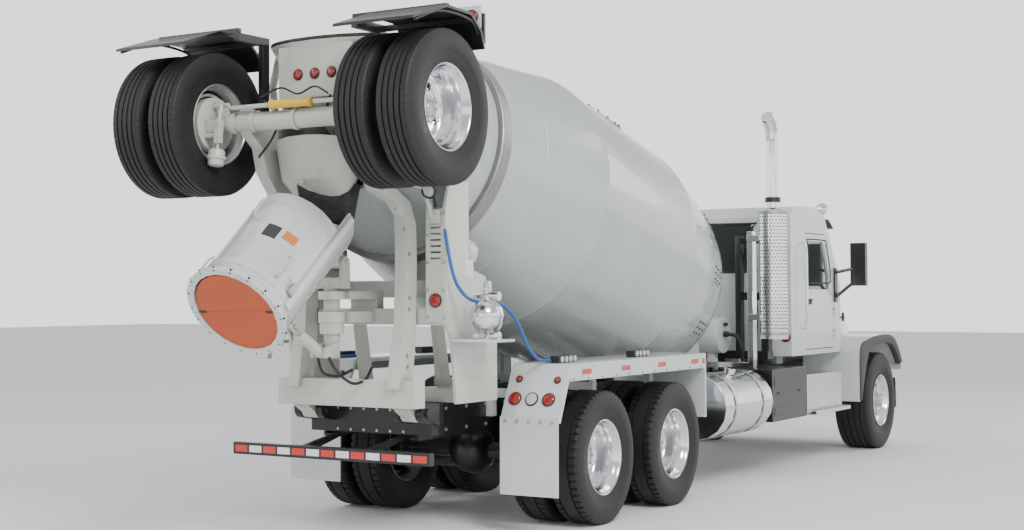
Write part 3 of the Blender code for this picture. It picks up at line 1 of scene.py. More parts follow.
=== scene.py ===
"""Looks of a concrete mixer truck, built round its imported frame.

Every piece is a surface worked out with numpy, placed in the truck's own frame
(metres, -Y to the front, +X to its left, +Z up), and rides on one of the frame's bodies.
"""
from __future__ import annotations

import json
import logging
import math
from dataclasses import dataclass, field
from enum import Enum
from typing import Callable, Iterable, Sequence

import bmesh
import bpy
import numpy as np
from mathutils import Matrix, Vector

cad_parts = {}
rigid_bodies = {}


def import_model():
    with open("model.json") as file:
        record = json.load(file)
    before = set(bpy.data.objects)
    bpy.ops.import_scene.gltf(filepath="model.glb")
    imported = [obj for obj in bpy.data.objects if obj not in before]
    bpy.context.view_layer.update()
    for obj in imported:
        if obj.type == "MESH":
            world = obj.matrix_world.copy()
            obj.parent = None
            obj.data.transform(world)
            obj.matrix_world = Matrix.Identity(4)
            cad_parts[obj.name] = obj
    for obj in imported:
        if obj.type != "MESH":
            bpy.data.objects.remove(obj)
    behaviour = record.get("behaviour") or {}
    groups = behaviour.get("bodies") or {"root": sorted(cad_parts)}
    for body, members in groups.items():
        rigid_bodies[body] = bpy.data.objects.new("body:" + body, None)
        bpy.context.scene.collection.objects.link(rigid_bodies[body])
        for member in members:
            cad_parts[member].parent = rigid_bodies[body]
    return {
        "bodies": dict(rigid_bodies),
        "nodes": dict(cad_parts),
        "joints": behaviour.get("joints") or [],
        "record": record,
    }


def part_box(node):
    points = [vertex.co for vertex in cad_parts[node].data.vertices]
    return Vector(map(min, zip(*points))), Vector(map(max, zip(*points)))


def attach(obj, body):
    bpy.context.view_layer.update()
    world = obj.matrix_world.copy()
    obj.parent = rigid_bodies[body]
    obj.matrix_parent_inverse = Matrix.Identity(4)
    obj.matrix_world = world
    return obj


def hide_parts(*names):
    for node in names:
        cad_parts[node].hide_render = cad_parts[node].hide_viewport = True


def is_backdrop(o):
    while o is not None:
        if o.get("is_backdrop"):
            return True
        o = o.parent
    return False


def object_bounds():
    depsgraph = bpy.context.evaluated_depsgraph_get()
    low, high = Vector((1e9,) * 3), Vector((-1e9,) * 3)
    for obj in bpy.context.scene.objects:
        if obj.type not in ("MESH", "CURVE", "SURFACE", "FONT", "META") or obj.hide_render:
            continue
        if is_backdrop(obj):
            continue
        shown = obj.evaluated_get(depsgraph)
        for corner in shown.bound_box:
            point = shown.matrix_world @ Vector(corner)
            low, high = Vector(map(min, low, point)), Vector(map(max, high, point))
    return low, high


log = logging.getLogger("mixer_truck")

Point = Sequence[float]
Socket = bpy.types.NodeSocket
SIDES = (("left", 1.0), ("right", -1.0))
TAU = 2.0 * math.pi


# ---- surfaces
@dataclass
class Surface:
    """Points and faces of one shape, in metres."""

    points: np.ndarray
    faces: list[tuple[int, ...]]

    def placed(self, matrix: Matrix) -> Surface:
        """Returns the shape moved by a 4 by 4 matrix that keeps its handedness."""
        turn = np.array(matrix)
        return Surface(self.points @ turn[:3, :3].T + turn[:3, 3], self.faces)

    def shifted(self, x: float = 0.0, y: float = 0.0, z: float = 0.0) -> Surface:
        """Returns the shape moved along the axes."""
        return Surface(self.points + np.array((x, y, z)), self.faces)

    def flipped(self) -> Surface:
        """Returns the shape mirrored across the truck's middle plane, faces turned to match."""
        return Surface(self.points * np.array((-1.0, 1.0, 1.0)), [face[::-1] for face in self.faces])

    def on_side(self, side: float) -> Surface:
        """Returns a shape made for the left side, mirrored where side is negative."""
        return self if side > 0 else self.flipped()


def around(count: int) -> np.ndarray:
    """Angles that share a full turn evenly."""
    return np.linspace(0, TAU, count, endpoint=False)


def joined(shapes: Iterable[Surface]) -> Surface:
    """Returns one surface that holds all the shapes.

    Args:
        shapes: the surfaces to gather.
    Returns:
        A surface whose faces count on from shape to shape.
    """
    points: list[np.ndarray] = []
    faces: list[tuple[int, ...]] = []
    start = 0
    for shape in shapes:
        points.append(shape.points)
        faces.extend(tuple(start + i for i in face) for face in shape.faces)
        start += len(shape.points)
    return Surface(np.vstack(points), faces)


def copies(shape: Surface, matrices: Iterable[Matrix]) -> Surface:
    """Returns the shape repeated at each matrix, as one surface."""
    return joined(shape.placed(matrix) for matrix in matrices)


def grid(function: Callable[[np.ndarray, np.ndarray], np.ndarray], u: np.ndarray, v: np.ndarray,
         close_u: bool = False, close_v: bool = False) -> Surface:
    """A surface over two parameters: the point at (u, v) is function(u, v), as whole arrays.

    Args:
        function: gives an array (rows, columns, 3) for two parameter arrays.
        u: the values down the rows.
        v: the values along the columns.
        close_u: joins the last row to the first.
        close_v: joins the last column to the first.
    Returns:
        The surface, in quads, facing along dP/du x dP/dv.
    """
    rows, columns = np.meshgrid(u, v, indexing="ij")
    points = function(rows, columns)
    index = np.arange(points.shape[0] * points.shape[1]).reshape(points.shape[:2])
    if close_u:
        index = np.vstack((index, index[:1]))
    if close_v:
        index = np.hstack((index, index[:, :1]))
    corners = (index[:-1, :-1], index[1:, :-1], index[1:, 1:], index[:-1, 1:])
    quads = np.stack(corners, axis=-1).reshape(-1, 4)
    return Surface(points.reshape(-1, 3), [tuple(q) for q in quads.tolist()])


def turned(profile: Sequence[Point], segments: int = 48, closed: bool = False) -> Surface:
    """A profile of (station, radius) turned about +X: P(t, a) = (s(t), r(t) cos a, r(t) sin a).

    Args:
        profile: the points, from one end of the axis to the other.
        segments: steps round the axis.
        closed: joins the profile's last point to its first, as for a ring.
    Returns:
        The turned surface, facing away from the axis where stations rise.
    """
    line = np.array(profile, dtype=float)

    def place(row: np.ndarray, angle: np.ndarray) -> np.ndarray:
        """A profile point turned by an angle."""
        station, radius = line[row.astype(int), 0], line[row.astype(int), 1]
        return np.stack((station, radius * np.cos(angle), -radius * np.sin(angle)), axis=-1)

    return grid(place, np.arange(len(line)), around(segments), closed, True)


def frame_along(origin: Point, direction: Point, up: Point = (0.0, 0.0, 1.0)) -> Matrix:
    """The matrix that carries local +X onto a direction, with local +Z near up.

    Args:
        origin: where the matrix puts the local origin.
        direction: where local +X points.
        up: what local +Z stays near.
    Returns:
        The matrix.
    """
    along = Vector(direction).normalized()
    across = Vector(up).cross(along)
    if across.length < 1e-4:
        across = Vector((0.0, 1.0, 0.0)).cross(along)
    across.normalize()
    high = along.cross(across)
    matrix = Matrix((along, across, high)).transposed().to_4x4()
    matrix.translation = Vector(origin)
    return matrix


def rod(start: Point, end: Point, radius: float, segments: int = 20, bevel: float = 0.002) -> Surface:
    """A round bar with eased ends, from start to end.

    Args:
        start: the middle of one end.
        end: the middle of the other end.
        radius: the rod's radius.
        segments: steps round it.
        bevel: how far its end edges are eased.
    Returns:
        The closed rod.
    """
    length = (Vector(end) - Vector(start)).length
    ease = min(bevel, radius * 0.4, length * 0.4)
    profile = [(0.0, 0.0), (0.0, radius - ease), (ease, radius), (length - ease, radius),
               (length, radius - ease), (length, 0.0)]
    return turned(profile, segments).placed(frame_along(start, Vector(end) - Vector(start)))


def pipe(path: Sequence[Point], radius: float, segments: int = 12, steps: int = 8) -> Surface:
    """A hose or bent bar: a circle carried along a smooth curve through the path's points.

    Args:
        path: the points that the middle line passes through.
        radius: the bar's radius.
        segments: steps round the bar.
        steps: curve steps between two points of the path.
    Returns:
        The closed tube.
    """
    line = smooth_line(path, steps)
    ahead = np.gradient(line, axis=0)
    ahead /= np.linalg.norm(ahead, axis=1)[:, None]
    side = np.cross(ahead, (0.31, 0.17, 0.93))
    for i in range(1, len(side)):
        carried = side[i - 1] - ahead[i] * np.dot(side[i - 1], ahead[i])
        side[i] = carried
    side /= np.linalg.norm(side, axis=1)[:, None]
    high = np.cross(ahead, side)

    def place(row: np.ndarray, angle: np.ndarray) -> np.ndarray:
        """A point on the circle round the line."""
        i = row.astype(int)
        return line[i] + radius * (np.cos(angle)[..., None] * side[i] - np.sin(angle)[..., None] * high[i])

    shape = grid(place, np.arange(len(line)), around(segments), False, True)
    count = len(shape.points)
    caps = [tuple(range(segments))[::-1], tuple(range(count - segments, count))]
    return Surface(shape.points, shape.faces + caps)


def smooth_line(path: Sequence[Point], steps: int) -> np.ndarray:
    """Points of a curve through the path: each span is a cubic that shares its neighbours' slopes.

    Args:
        path: the points that the curve passes through.
        steps: points on each span.
    Returns:
        The curve's points.
    """
    knots = np.array(path, dtype=float)
    if len(knots) < 3:
        return np.linspace(knots[0], knots[-1], steps + 1)
    padded = np.vstack((2 * knots[0] - knots[1], knots, 2 * knots[-1] - knots[-2]))
    t = np.linspace(0, 1, steps, endpoint=False)[:, None]
    spans = []
    for a, b, c, d in zip(padded, padded[1:], padded[2:], padded[3:]):
        spans.append(0.5 * (2 * b + (c - a) * t + (2 * a - 5 * b + 4 * c - d) * t ** 2 +
                            (3 * b - a - 3 * c + d) * t ** 3))
    return np.vstack(spans + [knots[-1:]])


def block(low: Point, high: Point) -> Surface:
    """A box between two corners.

    Args:
        low: one corner.
        high: the opposite corner.
    Returns:
        The closed box.
    """
    lows, highs = np.minimum(low, high), np.maximum(low, high)
    picks = np.array([(x, y, z) for x in (0, 1) for y in (0, 1) for z in (0, 1)])
    faces = [(0, 1, 3, 2), (4, 6, 7, 5), (0, 4, 5, 1), (2, 3, 7, 6), (0, 2, 6, 4), (1, 5, 7, 3)]
    return Surface(lows + picks * (highs - lows), faces)


def bolt_head(size: float = 0.011) -> Surface:
    """A hexagon head on its washer, standing along +X from the face it holds.

    Args:
        size: the hexagon's half width.
    Returns:
        The head and its washer.
    """
    washer = turned([(0.0, size * 1.25), (size * 0.22, size * 1.25), (size * 0.22, 0.0)], 12)
    head = turned([(size * 0.2, size), (size * 0.85, size), (size * 0.98, size * 0.84),
                   (size * 0.98, 0.0)], 6)
    return joined((washer, head))


def bolts(places: Iterable[Point], facing: Point, size: float = 0.011) -> Surface:
    """Bolt heads at each place, all facing one way."""
    return copies(bolt_head(size), [frame_along(place, facing) for place in places])


def row_of(start: Point, end: Point, count: int) -> np.ndarray:
    """Evenly spaced points from start to end."""
    return np.linspace(np.array(start, dtype=float), np.array(end, dtype=float), count)


# ---- pieces
class Yard:
    """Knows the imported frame, and makes pieces that ride on its bodies."""

    def __init__(self) -> None:
        """Loads the frame and keeps its box."""
        self.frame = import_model()
        self.cad_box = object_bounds()
        self.nodes = self.frame["nodes"]
        self.holder = {node: body for body, nodes in self.frame["record"]["behaviour"]["bodies"].items()
                       for node in nodes}
        self.count = 0

    def add(self, name: str, shape: Surface, finish: bpy.types.Material, body: str, slot: str,
            bevel: float = 0.0, sharp: float = 38.0, weld: bool = True,
            wall: float = 0.0) -> bpy.types.Object:
        """Makes one finished piece from a surface.

        Args:
            name: the piece's name.
            shape: its surface, in the truck's frame.
            finish: its material.
            body: the frame's body that carries it.
            slot: the record's material slot; not used.
            bevel: width of its eased edges.
            sharp: edges sharper than this many degrees stay crisp.
            weld: merges points that coincide and turns faces outwards.
            wall: thickness given to an open sheet.
        Returns:
            The new object.
        """
        mesh = bpy.data.meshes.new(name)
        mesh.from_pydata(shape.points, [], shape.faces)
        if weld:
            work = bmesh.new()
            work.from_mesh(mesh)
            bmesh.ops.remove_doubles(work, verts=work.verts, dist=1e-5)
            bmesh.ops.dissolve_degenerate(work, dist=1e-6, edges=work.edges)
            bmesh.ops.recalc_face_normals(work, faces=work.faces)
            work.to_mesh(mesh)
            work.free()
        item = bpy.data.objects.new(name, mesh)
        bpy.context.scene.collection.objects.link(item)
        mesh.materials.append(finish)
        if wall:
            thick = item.modifiers.new("wall", "SOLIDIFY")
            thick.thickness = wall
            thick.offset = 0.0
        if bevel:
            self.ease(item, bevel)
        mesh.shade_smooth()
        mesh.set_sharp_from_angle(angle=math.radians(sharp))
        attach(item, body)
        self.count += 1
        log.info("%s rides on %s", name, body)
        return item

    @staticmethod
    def ease(item: bpy.types.Object, width: float, segments: int = 2, angle: float = 32.0) -> None:
        """Gives an object's sharp edges a small radius.

        Args:
            item: the object.
            width: the radius.
            segments: steps across it.
            angle: edges sharper than this many degrees are eased.
        """
        edge = item.modifiers.new("edge", "BEVEL")
        edge.width = width
        edge.segments = segments
        edge.limit_method = "ANGLE"
        edge.angle_limit = math.radians(angle)
        edge.use_clamp_overlap = True

    def dress(self, node: str, finish: bpy.types.Material, bevel: float = 0.004,
              sharp: float = 38.0) -> bpy.types.Object:
        """Stands an eased, smooth copy in for a frame node.

        Args:
            node: the frame node's name.
            finish: the copy's material.
            bevel: width of its eased edges.
            sharp: edges sharper than this many degrees stay crisp.
        Returns:
            The copy.
        """
        work = bmesh.new()
        work.from_mesh(self.nodes[node].data)
        bmesh.ops.remove_doubles(work, verts=work.verts, dist=2e-5)
        bmesh.ops.dissolve_limit(work, angle_limit=math.radians(0.6), verts=work.verts, edges=work.edges)
        mesh = bpy.data.meshes.new(node + "_eased")
        work.to_mesh(mesh)
        work.free()
        item = bpy.data.objects.new(node + "_eased", mesh)
        bpy.context.scene.collection.objects.link(item)
        mesh.materials.clear()
        mesh.materials.append(finish)
        if bevel:
            self.ease(item, bevel)
        mesh.shade_smooth()
        mesh.set_sharp_from_angle(angle=math.radians(sharp))
        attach(item, self.holder[node])
        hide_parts(node)
        log.info("%s is dressed", node)
        return item

    def stand_in(self, item: bpy.types.Object, *nodes: str) -> None:
        """Hides frame nodes that a piece stands for."""
        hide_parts(*nodes)


# ---- finishes
class Kind(Enum):
    """How a surface was made, which decides its node group."""

    ENAMEL = "enamel"
    METAL = "metal"
    RUBBER = "rubber"


@dataclass(frozen=True)
class Finish:
    """One finish of the truck: its colour, how the real surface varies, and how strongly corner shade is
    painted into it.
    """

    name: str
    kind: Kind
    colour: tuple[float, float, float]
    roughness: float
    metallic: float = 0.0
    coat: float = 0.0
    # The grime amount and colour below mix streaks, dust and ambient-occlusion corner shade into the
    # colour: painted shade on the pale finishes.
    grime: float = 0.3
    grime_colour: tuple[float, float, float] = (0.20, 0.18, 0.15)
    grain: float = 0.03
    specular: float = 0.5


CAB_WHITE = Finish("cab_white_enamel", Kind.ENAMEL, (0.60, 0.63, 0.63), 0.22, coat=0.6, grime=0.22)
CREAM = Finish("cream_enamel", Kind.ENAMEL, (0.56, 0.57, 0.51), 0.30, coat=0.35, grime=0.55)
DRUM_GREY = Finish("drum_grey_white_enamel", Kind.ENAMEL, (0.42, 0.47, 0.455), 0.24, coat=0.5, grime=0.30)
CHASSIS_BLACK = Finish("chassis_black", Kind.ENAMEL, (0.007, 0.007, 0.008), 0.36, coat=0.2, grime=0.25,
                       grime_colour=(0.06, 0.055, 0.05))
FLARE_GREY = Finish("flare_dark_grey_plastic", Kind.ENAMEL, (0.035, 0.036, 0.04), 0.55, grime=0.3,
                    grain=0.14,
                    grime_colour=(0.13, 0.12, 0.11))
POST_GREY = Finish("handrail_grey_enamel", Kind.ENAMEL, (0.33, 0.35, 0.37), 0.35, grime=0.45)
ORANGE = Finish("cover_orange", Kind.ENAMEL, (0.50, 0.085, 0.022), 0.55, grime=0.12, grain=0.05)
YELLOW = Finish("cylinder_yellow", Kind.ENAMEL, (0.78, 0.52, 0.04), 0.35, grime=0.35)
RED_TAPE = Finish("red_reflective_tape", Kind.ENAMEL, (0.62, 0.015, 0.012), 0.35, coat=0.5, grime=0.25,
                  grain=0.25)
WHITE_TAPE = Finish("white_reflective_tape", Kind.ENAMEL, (0.78, 0.79, 0.80), 0.32, coat=0.5, grime=0.3,
                    grain=0.25)
LABEL_WHITE = Finish("blank_label_white", Kind.ENAMEL, (0.74, 0.74, 0.72), 0.5, grime=0.3)
LABEL_DARK = Finish("blank_label_dark", Kind.ENAMEL, (0.03, 0.03, 0.035), 0.45, grime=0.3)
LABEL_AMBER = Finish("blank_label_amber", Kind.ENAMEL, (0.60, 0.20, 0.03), 0.45, grime=0.3)
BLUE_HOSE = Finish("blue_hose_rubber", Kind.RUBBER, (0.01, 0.09, 0.36), 0.42, grime=0.35)
BLACK_HOSE = Finish("black_hose_rubber", Kind.RUBBER, (0.012, 0.012, 0.013), 0.5, grime=0.4)
SEAL_RUBBER = Finish("seal_rubber", Kind.RUBBER, (0.014, 0.014, 0.015), 0.62, grime=0.45)
TYRE = Finish("tyre_rubber_compound", Kind.RUBBER, (0.0075, 0.0075, 0.008), 0.58, grime=0.28,
              grime_colour=(0.05, 0.047, 0.043))
POLISHED = Finish("polished_aluminium", Kind.METAL, (0.83, 0.84, 0.86), 0.13, metallic=1.0, grime=0.25)
PLATE_ALLOY = Finish("brushed_alloy", Kind.METAL, (0.66, 0.67, 0.69), 0.32, metallic=1.0, grime=0.4)
CHROME = Finish("bright_chrome", Kind.METAL, (0.86, 0.87, 0.88), 0.06, metallic=1.0, grime=0.18)
STEEL = Finish("bare_steel", Kind.METAL, (0.42, 0.42, 0.43), 0.36, metallic=1.0, grime=0.5)
ZINC = Finish("zinc_plated_steel", Kind.METAL, (0.56, 0.56, 0.55), 0.40, metallic=1.0, grime=0.55)
TRACK_STEEL = Finish("roller_track_steel", Kind.METAL, (0.36, 0.35, 0.34), 0.42, metallic=0.9, grime=0.7)
CAST = Finish("cast_alloy", Kind.METAL, (0.60, 0.61, 0.63), 0.42, metallic=1.0, grime=0.45, grain=0.30)
CABIN_GREY = Finish("cabin_grey_plastic", Kind.ENAMEL, (0.045, 0.046, 0.05), 0.6, grime=0.2, grain=0.16)


class Socketed:
    """Builds one shader node group, with short calls for its nodes."""

    def __init__(self, name: str, inputs: Sequence[tuple[str, str, object]],
                 outputs: Sequence[tuple[str, str]]) -> None:
        """Makes the group and its sockets.

        Args:
            name: the group's name.
            inputs: (name, socket type, default) for each input.
            outputs: (name, socket type) for each output.
        """
        self.tree = bpy.data.node_groups.new(name, "ShaderNodeTree")
        for label, kind, default in inputs:
            socket = self.tree.interface.new_socket(label, in_out="INPUT", socket_type=kind)
            if default is not None:
                socket.default_value = default
        for label, kind in outputs:
            self.tree.interface.new_socket(label, in_out="OUTPUT", socket_type=kind)
        self.entry = self.tree.nodes.new("NodeGroupInput")
        self.exit = self.tree.nodes.new("NodeGroupOutput")
        self.place = self.tree.nodes.new("ShaderNodeTexCoord").outputs["Object"]

    def link(self, source: Socket, target: Socket) -> None:
        """Joins two sockets."""
        self.tree.links.new(source, target)

    def feed(self, target: Socket, value: object) -> None:
        """Sets a socket from a number, a colour or another socket.

        Args:
            target: the socket to set.
            value: what it gets.
        """
        if isinstance(value, Socket):
            self.link(value, target)
        else:
            target.default_value = value

    def noise(self, scale: float, detail: float = 4.0, rough: float = 0.55,
              stretch: Point = (1, 1, 1)) -> Socket:
        """A noise value over object space, stretched by dividing each axis.

        Args:
            scale: the noise's scale.
            detail: its octaves.
            rough: how strong the finer ones are.
            stretch: what each axis is multiplied by.
        Returns:
            The value's socket.
        """
        mapping = self.tree.nodes.new("ShaderNodeMapping")
        mapping.inputs["Scale"].default_value = stretch
        self.link(self.place, mapping.inputs["Vector"])
        node = self.tree.nodes.new("ShaderNodeTexNoise")
        node.inputs["Scale"].default_value = scale
        node.inputs["Detail"].default_value = detail
        node.inputs["Roughness"].default_value = rough
        self.link(mapping.outputs["Vector"], node.inputs["Vector"])
        return node.outputs["Fac"]

    def ranged(self, value: Socket, low: float, high: float, to_low: float = 0.0,
               to_high: float = 1.0) -> Socket:
        """A value carried from one range to another, held at the ends.

        Args:
            value: the socket to carry.
            low: where its range starts.
            high: where its range ends.
            to_low: what low becomes.
            to_high: what high becomes.
        Returns:
            The new value's socket.
        """
        node = self.tree.nodes.new("ShaderNodeMapRange")
        self.link(value, node.inputs["Value"])
        for socket, number in zip(("From Min", "From Max", "To Min", "To Max"),
                                  (low, high, to_low, to_high)):
            node.inputs[socket].default_value = number
        return node.outputs["Result"]

    def math(self, operation: str, first: object, second: object = 0.0, clamp: bool = False) -> Socket:
        """A sum on values.

        Args:
            operation: the kind of sum.
            first: its first value.
            second: its second value.
            clamp: holds the result between 0 and 1.
        Returns:
            The result's socket.
        """
        node = self.tree.nodes.new("ShaderNodeMath")
        node.operation = operation
        node.use_clamp = clamp
        self.feed(node.inputs[0], first)
        self.feed(node.inputs[1], second)
        return node.outputs[0]

    def mix(self, factor: object, first: object, second: object, blend: str = "MIX") -> Socket:
        """A mix of two colours.

        Args:
            factor: how much of the second shows.
            first: the first colour.
            second: the second colour.
            blend: how they mix.
        Returns:
            The colour's socket.
        """
        node = self.tree.nodes.new("ShaderNodeMix")
        node.data_type = "RGBA"
        node.blend_type = blend
        self.feed(node.inputs["Factor"], factor)
        self.feed(node.inputs[6], first)
        self.feed(node.inputs[7], second)
        return node.outputs[2]

    def tint(self, value: Socket) -> Socket:
        """A grey of that value, to multiply a colour with.

        Args:
            value: the socket that gives the grey.
        Returns:
            The colour's socket.
        """
        node = self.tree.nodes.new("ShaderNodeCombineColor")
        for socket in node.inputs[:3]:
            self.link(value, socket)
        return node.outputs[0]

    def crevice(self, reach: float) -> Socket:
        """How much shade from nearby faces falls on a point (ambient occlusion): 0 in the open, 1 deep in a
        corner.

        Args:
            reach: how far it looks for other faces, in metres.
        Returns:
            The value's socket.
        """
        node = self.tree.nodes.new("ShaderNodeAmbientOcclusion")
        node.samples = 4
        node.inputs["Distance"].default_value = reach
        return self.ranged(node.outputs["AO"], 0.35, 0.95, 1.0, 0.0)

    def height(self) -> Socket:
        """The point's height over the ground.

        Returns:
            The value's socket.
        """
        node = self.tree.nodes.new("ShaderNodeSeparateXYZ")
        self.link(self.place, node.inputs[0])
        return node.outputs["Z"]

    def bump(self, height: object, strength: object, distance: float) -> Socket:
        """A normal raised by a height.

        Args:
            height: what raises the surface.
            strength: how strongly it shows.
            distance: the height of 1, in metres.
        Returns:
            The normal's socket.
        """
        node = self.tree.nodes.new("ShaderNodeBump")
        node.inputs["Distance"].default_value = distance
        self.feed(node.inputs["Strength"], strength)
        self.feed(node.inputs["Height"], height)
        return node.outputs["Normal"]


class PaintShop:
    """Makes each finish's material once, from three shared node groups."""

    INPUTS = (("Colour", "NodeSocketColor", None), ("Grime Colour", "NodeSocketColor", None),
              ("Roughness", "NodeSocketFloat", 0.4), ("Grime", "NodeSocketFloat", 0.3),
              ("Grain", "NodeSocketFloat", 0.05))
    OUTPUTS = (("Colour", "NodeSocketColor"), ("Roughness", "NodeSocketFloat"),
               ("Normal", "NodeSocketVector"))

    def __init__(self) -> None:
        """Builds the node groups."""
        self.groups = {Kind.ENAMEL: self.enamel(), Kind.METAL: self.metal(), Kind.RUBBER: self.rubber()}
        self.made: dict[str, bpy.types.Material] = {}

    def enamel(self) -> Socketed:
        """Sprayed paint: orange peel, faint mottling, streaks, dust low down, and ambient-occlusion corner
        shade mixed into the colour: painted shade on the pale finishes, paler dust on the dark ones.

        Returns:
            The node group.
        """
        g = Socketed("sprayed_enamel", self.INPUTS, self.OUTPUTS)
        tone = g.ranged(g.noise(1.7, 3.0), 0.3, 0.7, 0.94, 1.03)
        patches = g.ranged(g.noise(5.0, 9.0, 0.68), 0.48, 0.78)
        streaks = g.ranged(g.noise(1.0, 6.0, 0.6, (22, 22, 1.6)), 0.52, 0.80)
        low = g.ranged(g.height(), 1.5, 0.35)
        # Ambient occlusion in corners and creases, mixed into the colour below: painted shade on the pale
        # finishes, paler dust on the dark ones.
        corner = g.math("MULTIPLY", g.crevice(0.07), 0.85)
        dust = g.math("ADD", g.math("MULTIPLY", streaks, 0.35),
                      g.math("MULTIPLY", g.math("MULTIPLY", low, patches), 0.9))
        mask = g.math("MULTIPLY", g.math("ADD", dust, corner), g.entry.outputs["Grime"], True)
        toned = g.mix(1.0, g.entry.outputs["Colour"], g.tint(tone), "MULTIPLY")
        g.link(g.mix(mask, toned, g.entry.outputs["Grime Colour"]), g.exit.inputs["Colour"])
        fine = g.ranged(g.noise(38.0, 3.0), 0.3, 0.7, -0.035, 0.05)
        rough = g.math("ADD", g.math("ADD", g.entry.outputs["Roughness"], fine),
                       g.math("MULTIPLY", mask, 0.3), True)
        g.link(rough, g.exit.inputs["Roughness"])
        peel = g.math("ADD", g.noise(520.0, 2.0), g.math("MULTIPLY", g.noise(60.0, 4.0), 0.5))
        g.link(g.bump(peel, g.entry.outputs["Grain"], 0.002), g.exit.inputs["Normal"])
        return g

    def metal(self) -> Socketed:
        """Worked metal: fine scratches, smears that dull it, and painted shade in corners, where ambient
        occlusion darkens the colour.

        Returns:
            The node group.
        """
        g = Socketed("worked_metal", self.INPUTS, self.OUTPUTS)
        scratch = g.noise(60.0, 5.0, 0.7, (1.0, 9.0, 9.0))
        smear = g.ranged(g.noise(7.0, 7.0, 0.62), 0.40, 0.75)
        # Ambient occlusion in corners, mixed into the colour below as painted shade.
        corner = g.crevice(0.04)
        mask = g.math("MULTIPLY", g.math("ADD", g.math("MULTIPLY", smear, 0.45), corner),
                      g.entry.outputs["Grime"], True)
        tone = g.ranged(g.noise(3.0, 3.0), 0.3, 0.7, 0.9, 1.04)
        toned = g.mix(1.0, g.entry.outputs["Colour"], g.tint(tone), "MULTIPLY")
        g.link(g.mix(mask, toned, g.entry.outputs["Grime Colour"]), g.exit.inputs["Colour"])
        rough = g.math("ADD", g.entry.outputs["Roughness"], g.ranged(scratch, 0.3, 0.7, -0.02, 0.07))
        g.link(g.math("ADD", rough, g.math("MULTIPLY", mask, 0.35), True), g.exit.inputs["Roughness"])
        lumps = g.math("ADD", g.math("MULTIPLY", scratch, 0.4), g.noise(260.0, 3.0))
        g.link(g.bump(lumps, g.entry.outputs["Grain"], 0.002), g.exit.inputs["Normal"])
        return g

    def rubber(self) -> Socketed:
        """Rubber: a pale bloom in patches, pale dust in corners, fine pores.

        Returns:
            The node group.
        """
        g = Socketed("moulded_rubber", self.INPUTS, self.OUTPUTS)
        bloom = g.ranged(g.noise(11.0, 8.0, 0.66), 0.42, 0.80)
        corner = g.math("MULTIPLY", g.crevice(0.02), 0.6)
        mask = g.math("MULTIPLY", g.math("ADD", bloom, corner),
                      g.math("MULTIPLY", g.entry.outputs["Grime"], 0.55), True)
        g.link(g.mix(mask, g.entry.outputs["Colour"], g.entry.outputs["Grime Colour"]),
               g.exit.inputs["Colour"])
        fine = g.ranged(g.noise(90.0, 3.0), 0.3, 0.7, -0.05, 0.08)
        g.link(g.math("ADD", g.entry.outputs["Roughness"], fine, True), g.exit.inputs["Roughness"])
        pores = g.math("ADD", g.noise(700.0, 2.0), g.math("MULTIPLY", g.noise(120.0, 4.0), 0.6))
        g.link(g.bump(pores, g.math("ADD", g.entry.outputs["Grain"], 0.08), 0.002), g.exit.inputs["Normal"])
        return g

    def __call__(self, finish: Finish) -> bpy.types.Material:
        """The finish's material, made on first use.

        Args:
            finish: what the piece is finished in.
        Returns:
            The material.
        """
        if finish.name not in self.made:
            self.made[finish.name] = self.mixed(finish)
        return self.made[finish.name]

    def mixed(self, finish: Finish) -> bpy.types.Material:
        """Makes a Principled material fed by the finish's group.

        Args:
            finish: the finish to mix.
        Returns:
            The material.
        """
        material = bpy.data.materials.new(finish.name)
        material.use_nodes = True
        nodes, links = material.node_tree.nodes, material.node_tree.links
        shader = nodes["Principled BSDF"]
        group = nodes.new("ShaderNodeGroup")
        group.node_tree = self.groups[finish.kind].tree
        for socket, value in (("Colour", (*finish.colour, 1.0)),
                              ("Grime Colour", (*finish.grime_colour, 1.0)),
                              ("Roughness", finish.roughness), ("Grime", finish.grime),
                              ("Grain", finish.grain)):
            group.inputs[socket].default_value = value
        for source, target in (("Colour", "Base Color"), ("Roughness", "Roughness"), ("Normal", "Normal")):
            links.new(group.outputs[source], shader.inputs[target])
        shader.inputs["Metallic"].default_value = finish.metallic
        shader.inputs["Coat Weight"].default_value = finish.coat
        shader.inputs["Coat Roughness"].default_value = 0.06
        shader.inputs["Specular IOR Level"].default_value = finish.specular
        return material

    def glass(self, name: str, colour: tuple[float, float, float], roughness: float = 0.02,
              alpha: float = 1.0, transmission: float = 0.0) -> bpy.types.Material:
        """Glass or a lens: a smooth coloured gloss with faint dust.

        Args:
            name: the material's name.
            colour: its colour.
            roughness: its gloss.
            alpha: how solid it is.
            transmission: how much light passes.
        Returns:
            The material.
        """
        if name in self.made:
            return self.made[name]
        look = Finish(name, Kind.ENAMEL, colour, roughness, coat=0.8, grime=0.12, grain=0.0)
        material = self.mixed(look)
        shader = material.node_tree.nodes["Principled BSDF"]
        shader.inputs["Transmission Weight"].default_value = transmission
        shader.inputs["Alpha"].default_value = alpha
        shader.inputs["IOR"].default_value = 1.48
        self.made[name] = material
        return material


# ---- assemblies
@dataclass
class Assembly:
    """A sub-assembly of the truck, which paints its pieces and puts them in the yard."""

    yard: Yard
    paint: PaintShop

    def put(self, name: str, shape: Surface, finish: Finish | bpy.types.Material, slot: str,
            body: str = "truck",
            **edges: float | bool) -> bpy.types.Object:
        """Paints a shape and puts it on its body.

        Args:
            name: the piece's name.
            shape: its surface, in the truck's frame.
            finish: its finish, or a material that is already made.
            slot: the record's material slot.
            body: the frame's body that carries it.
            edges: what else Yard.add takes, such as bevel or wall.
        Returns:
            The new object.
        """
        material = self.paint(finish) if isinstance(finish, Finish) else finish
        return self.yard.add(name, shape, material, body, slot, **edges)


# ---- wheels
class Tread(Enum):
    """Tread patterns on the truck."""

    RIB = "rib"
    LUG = "lug"


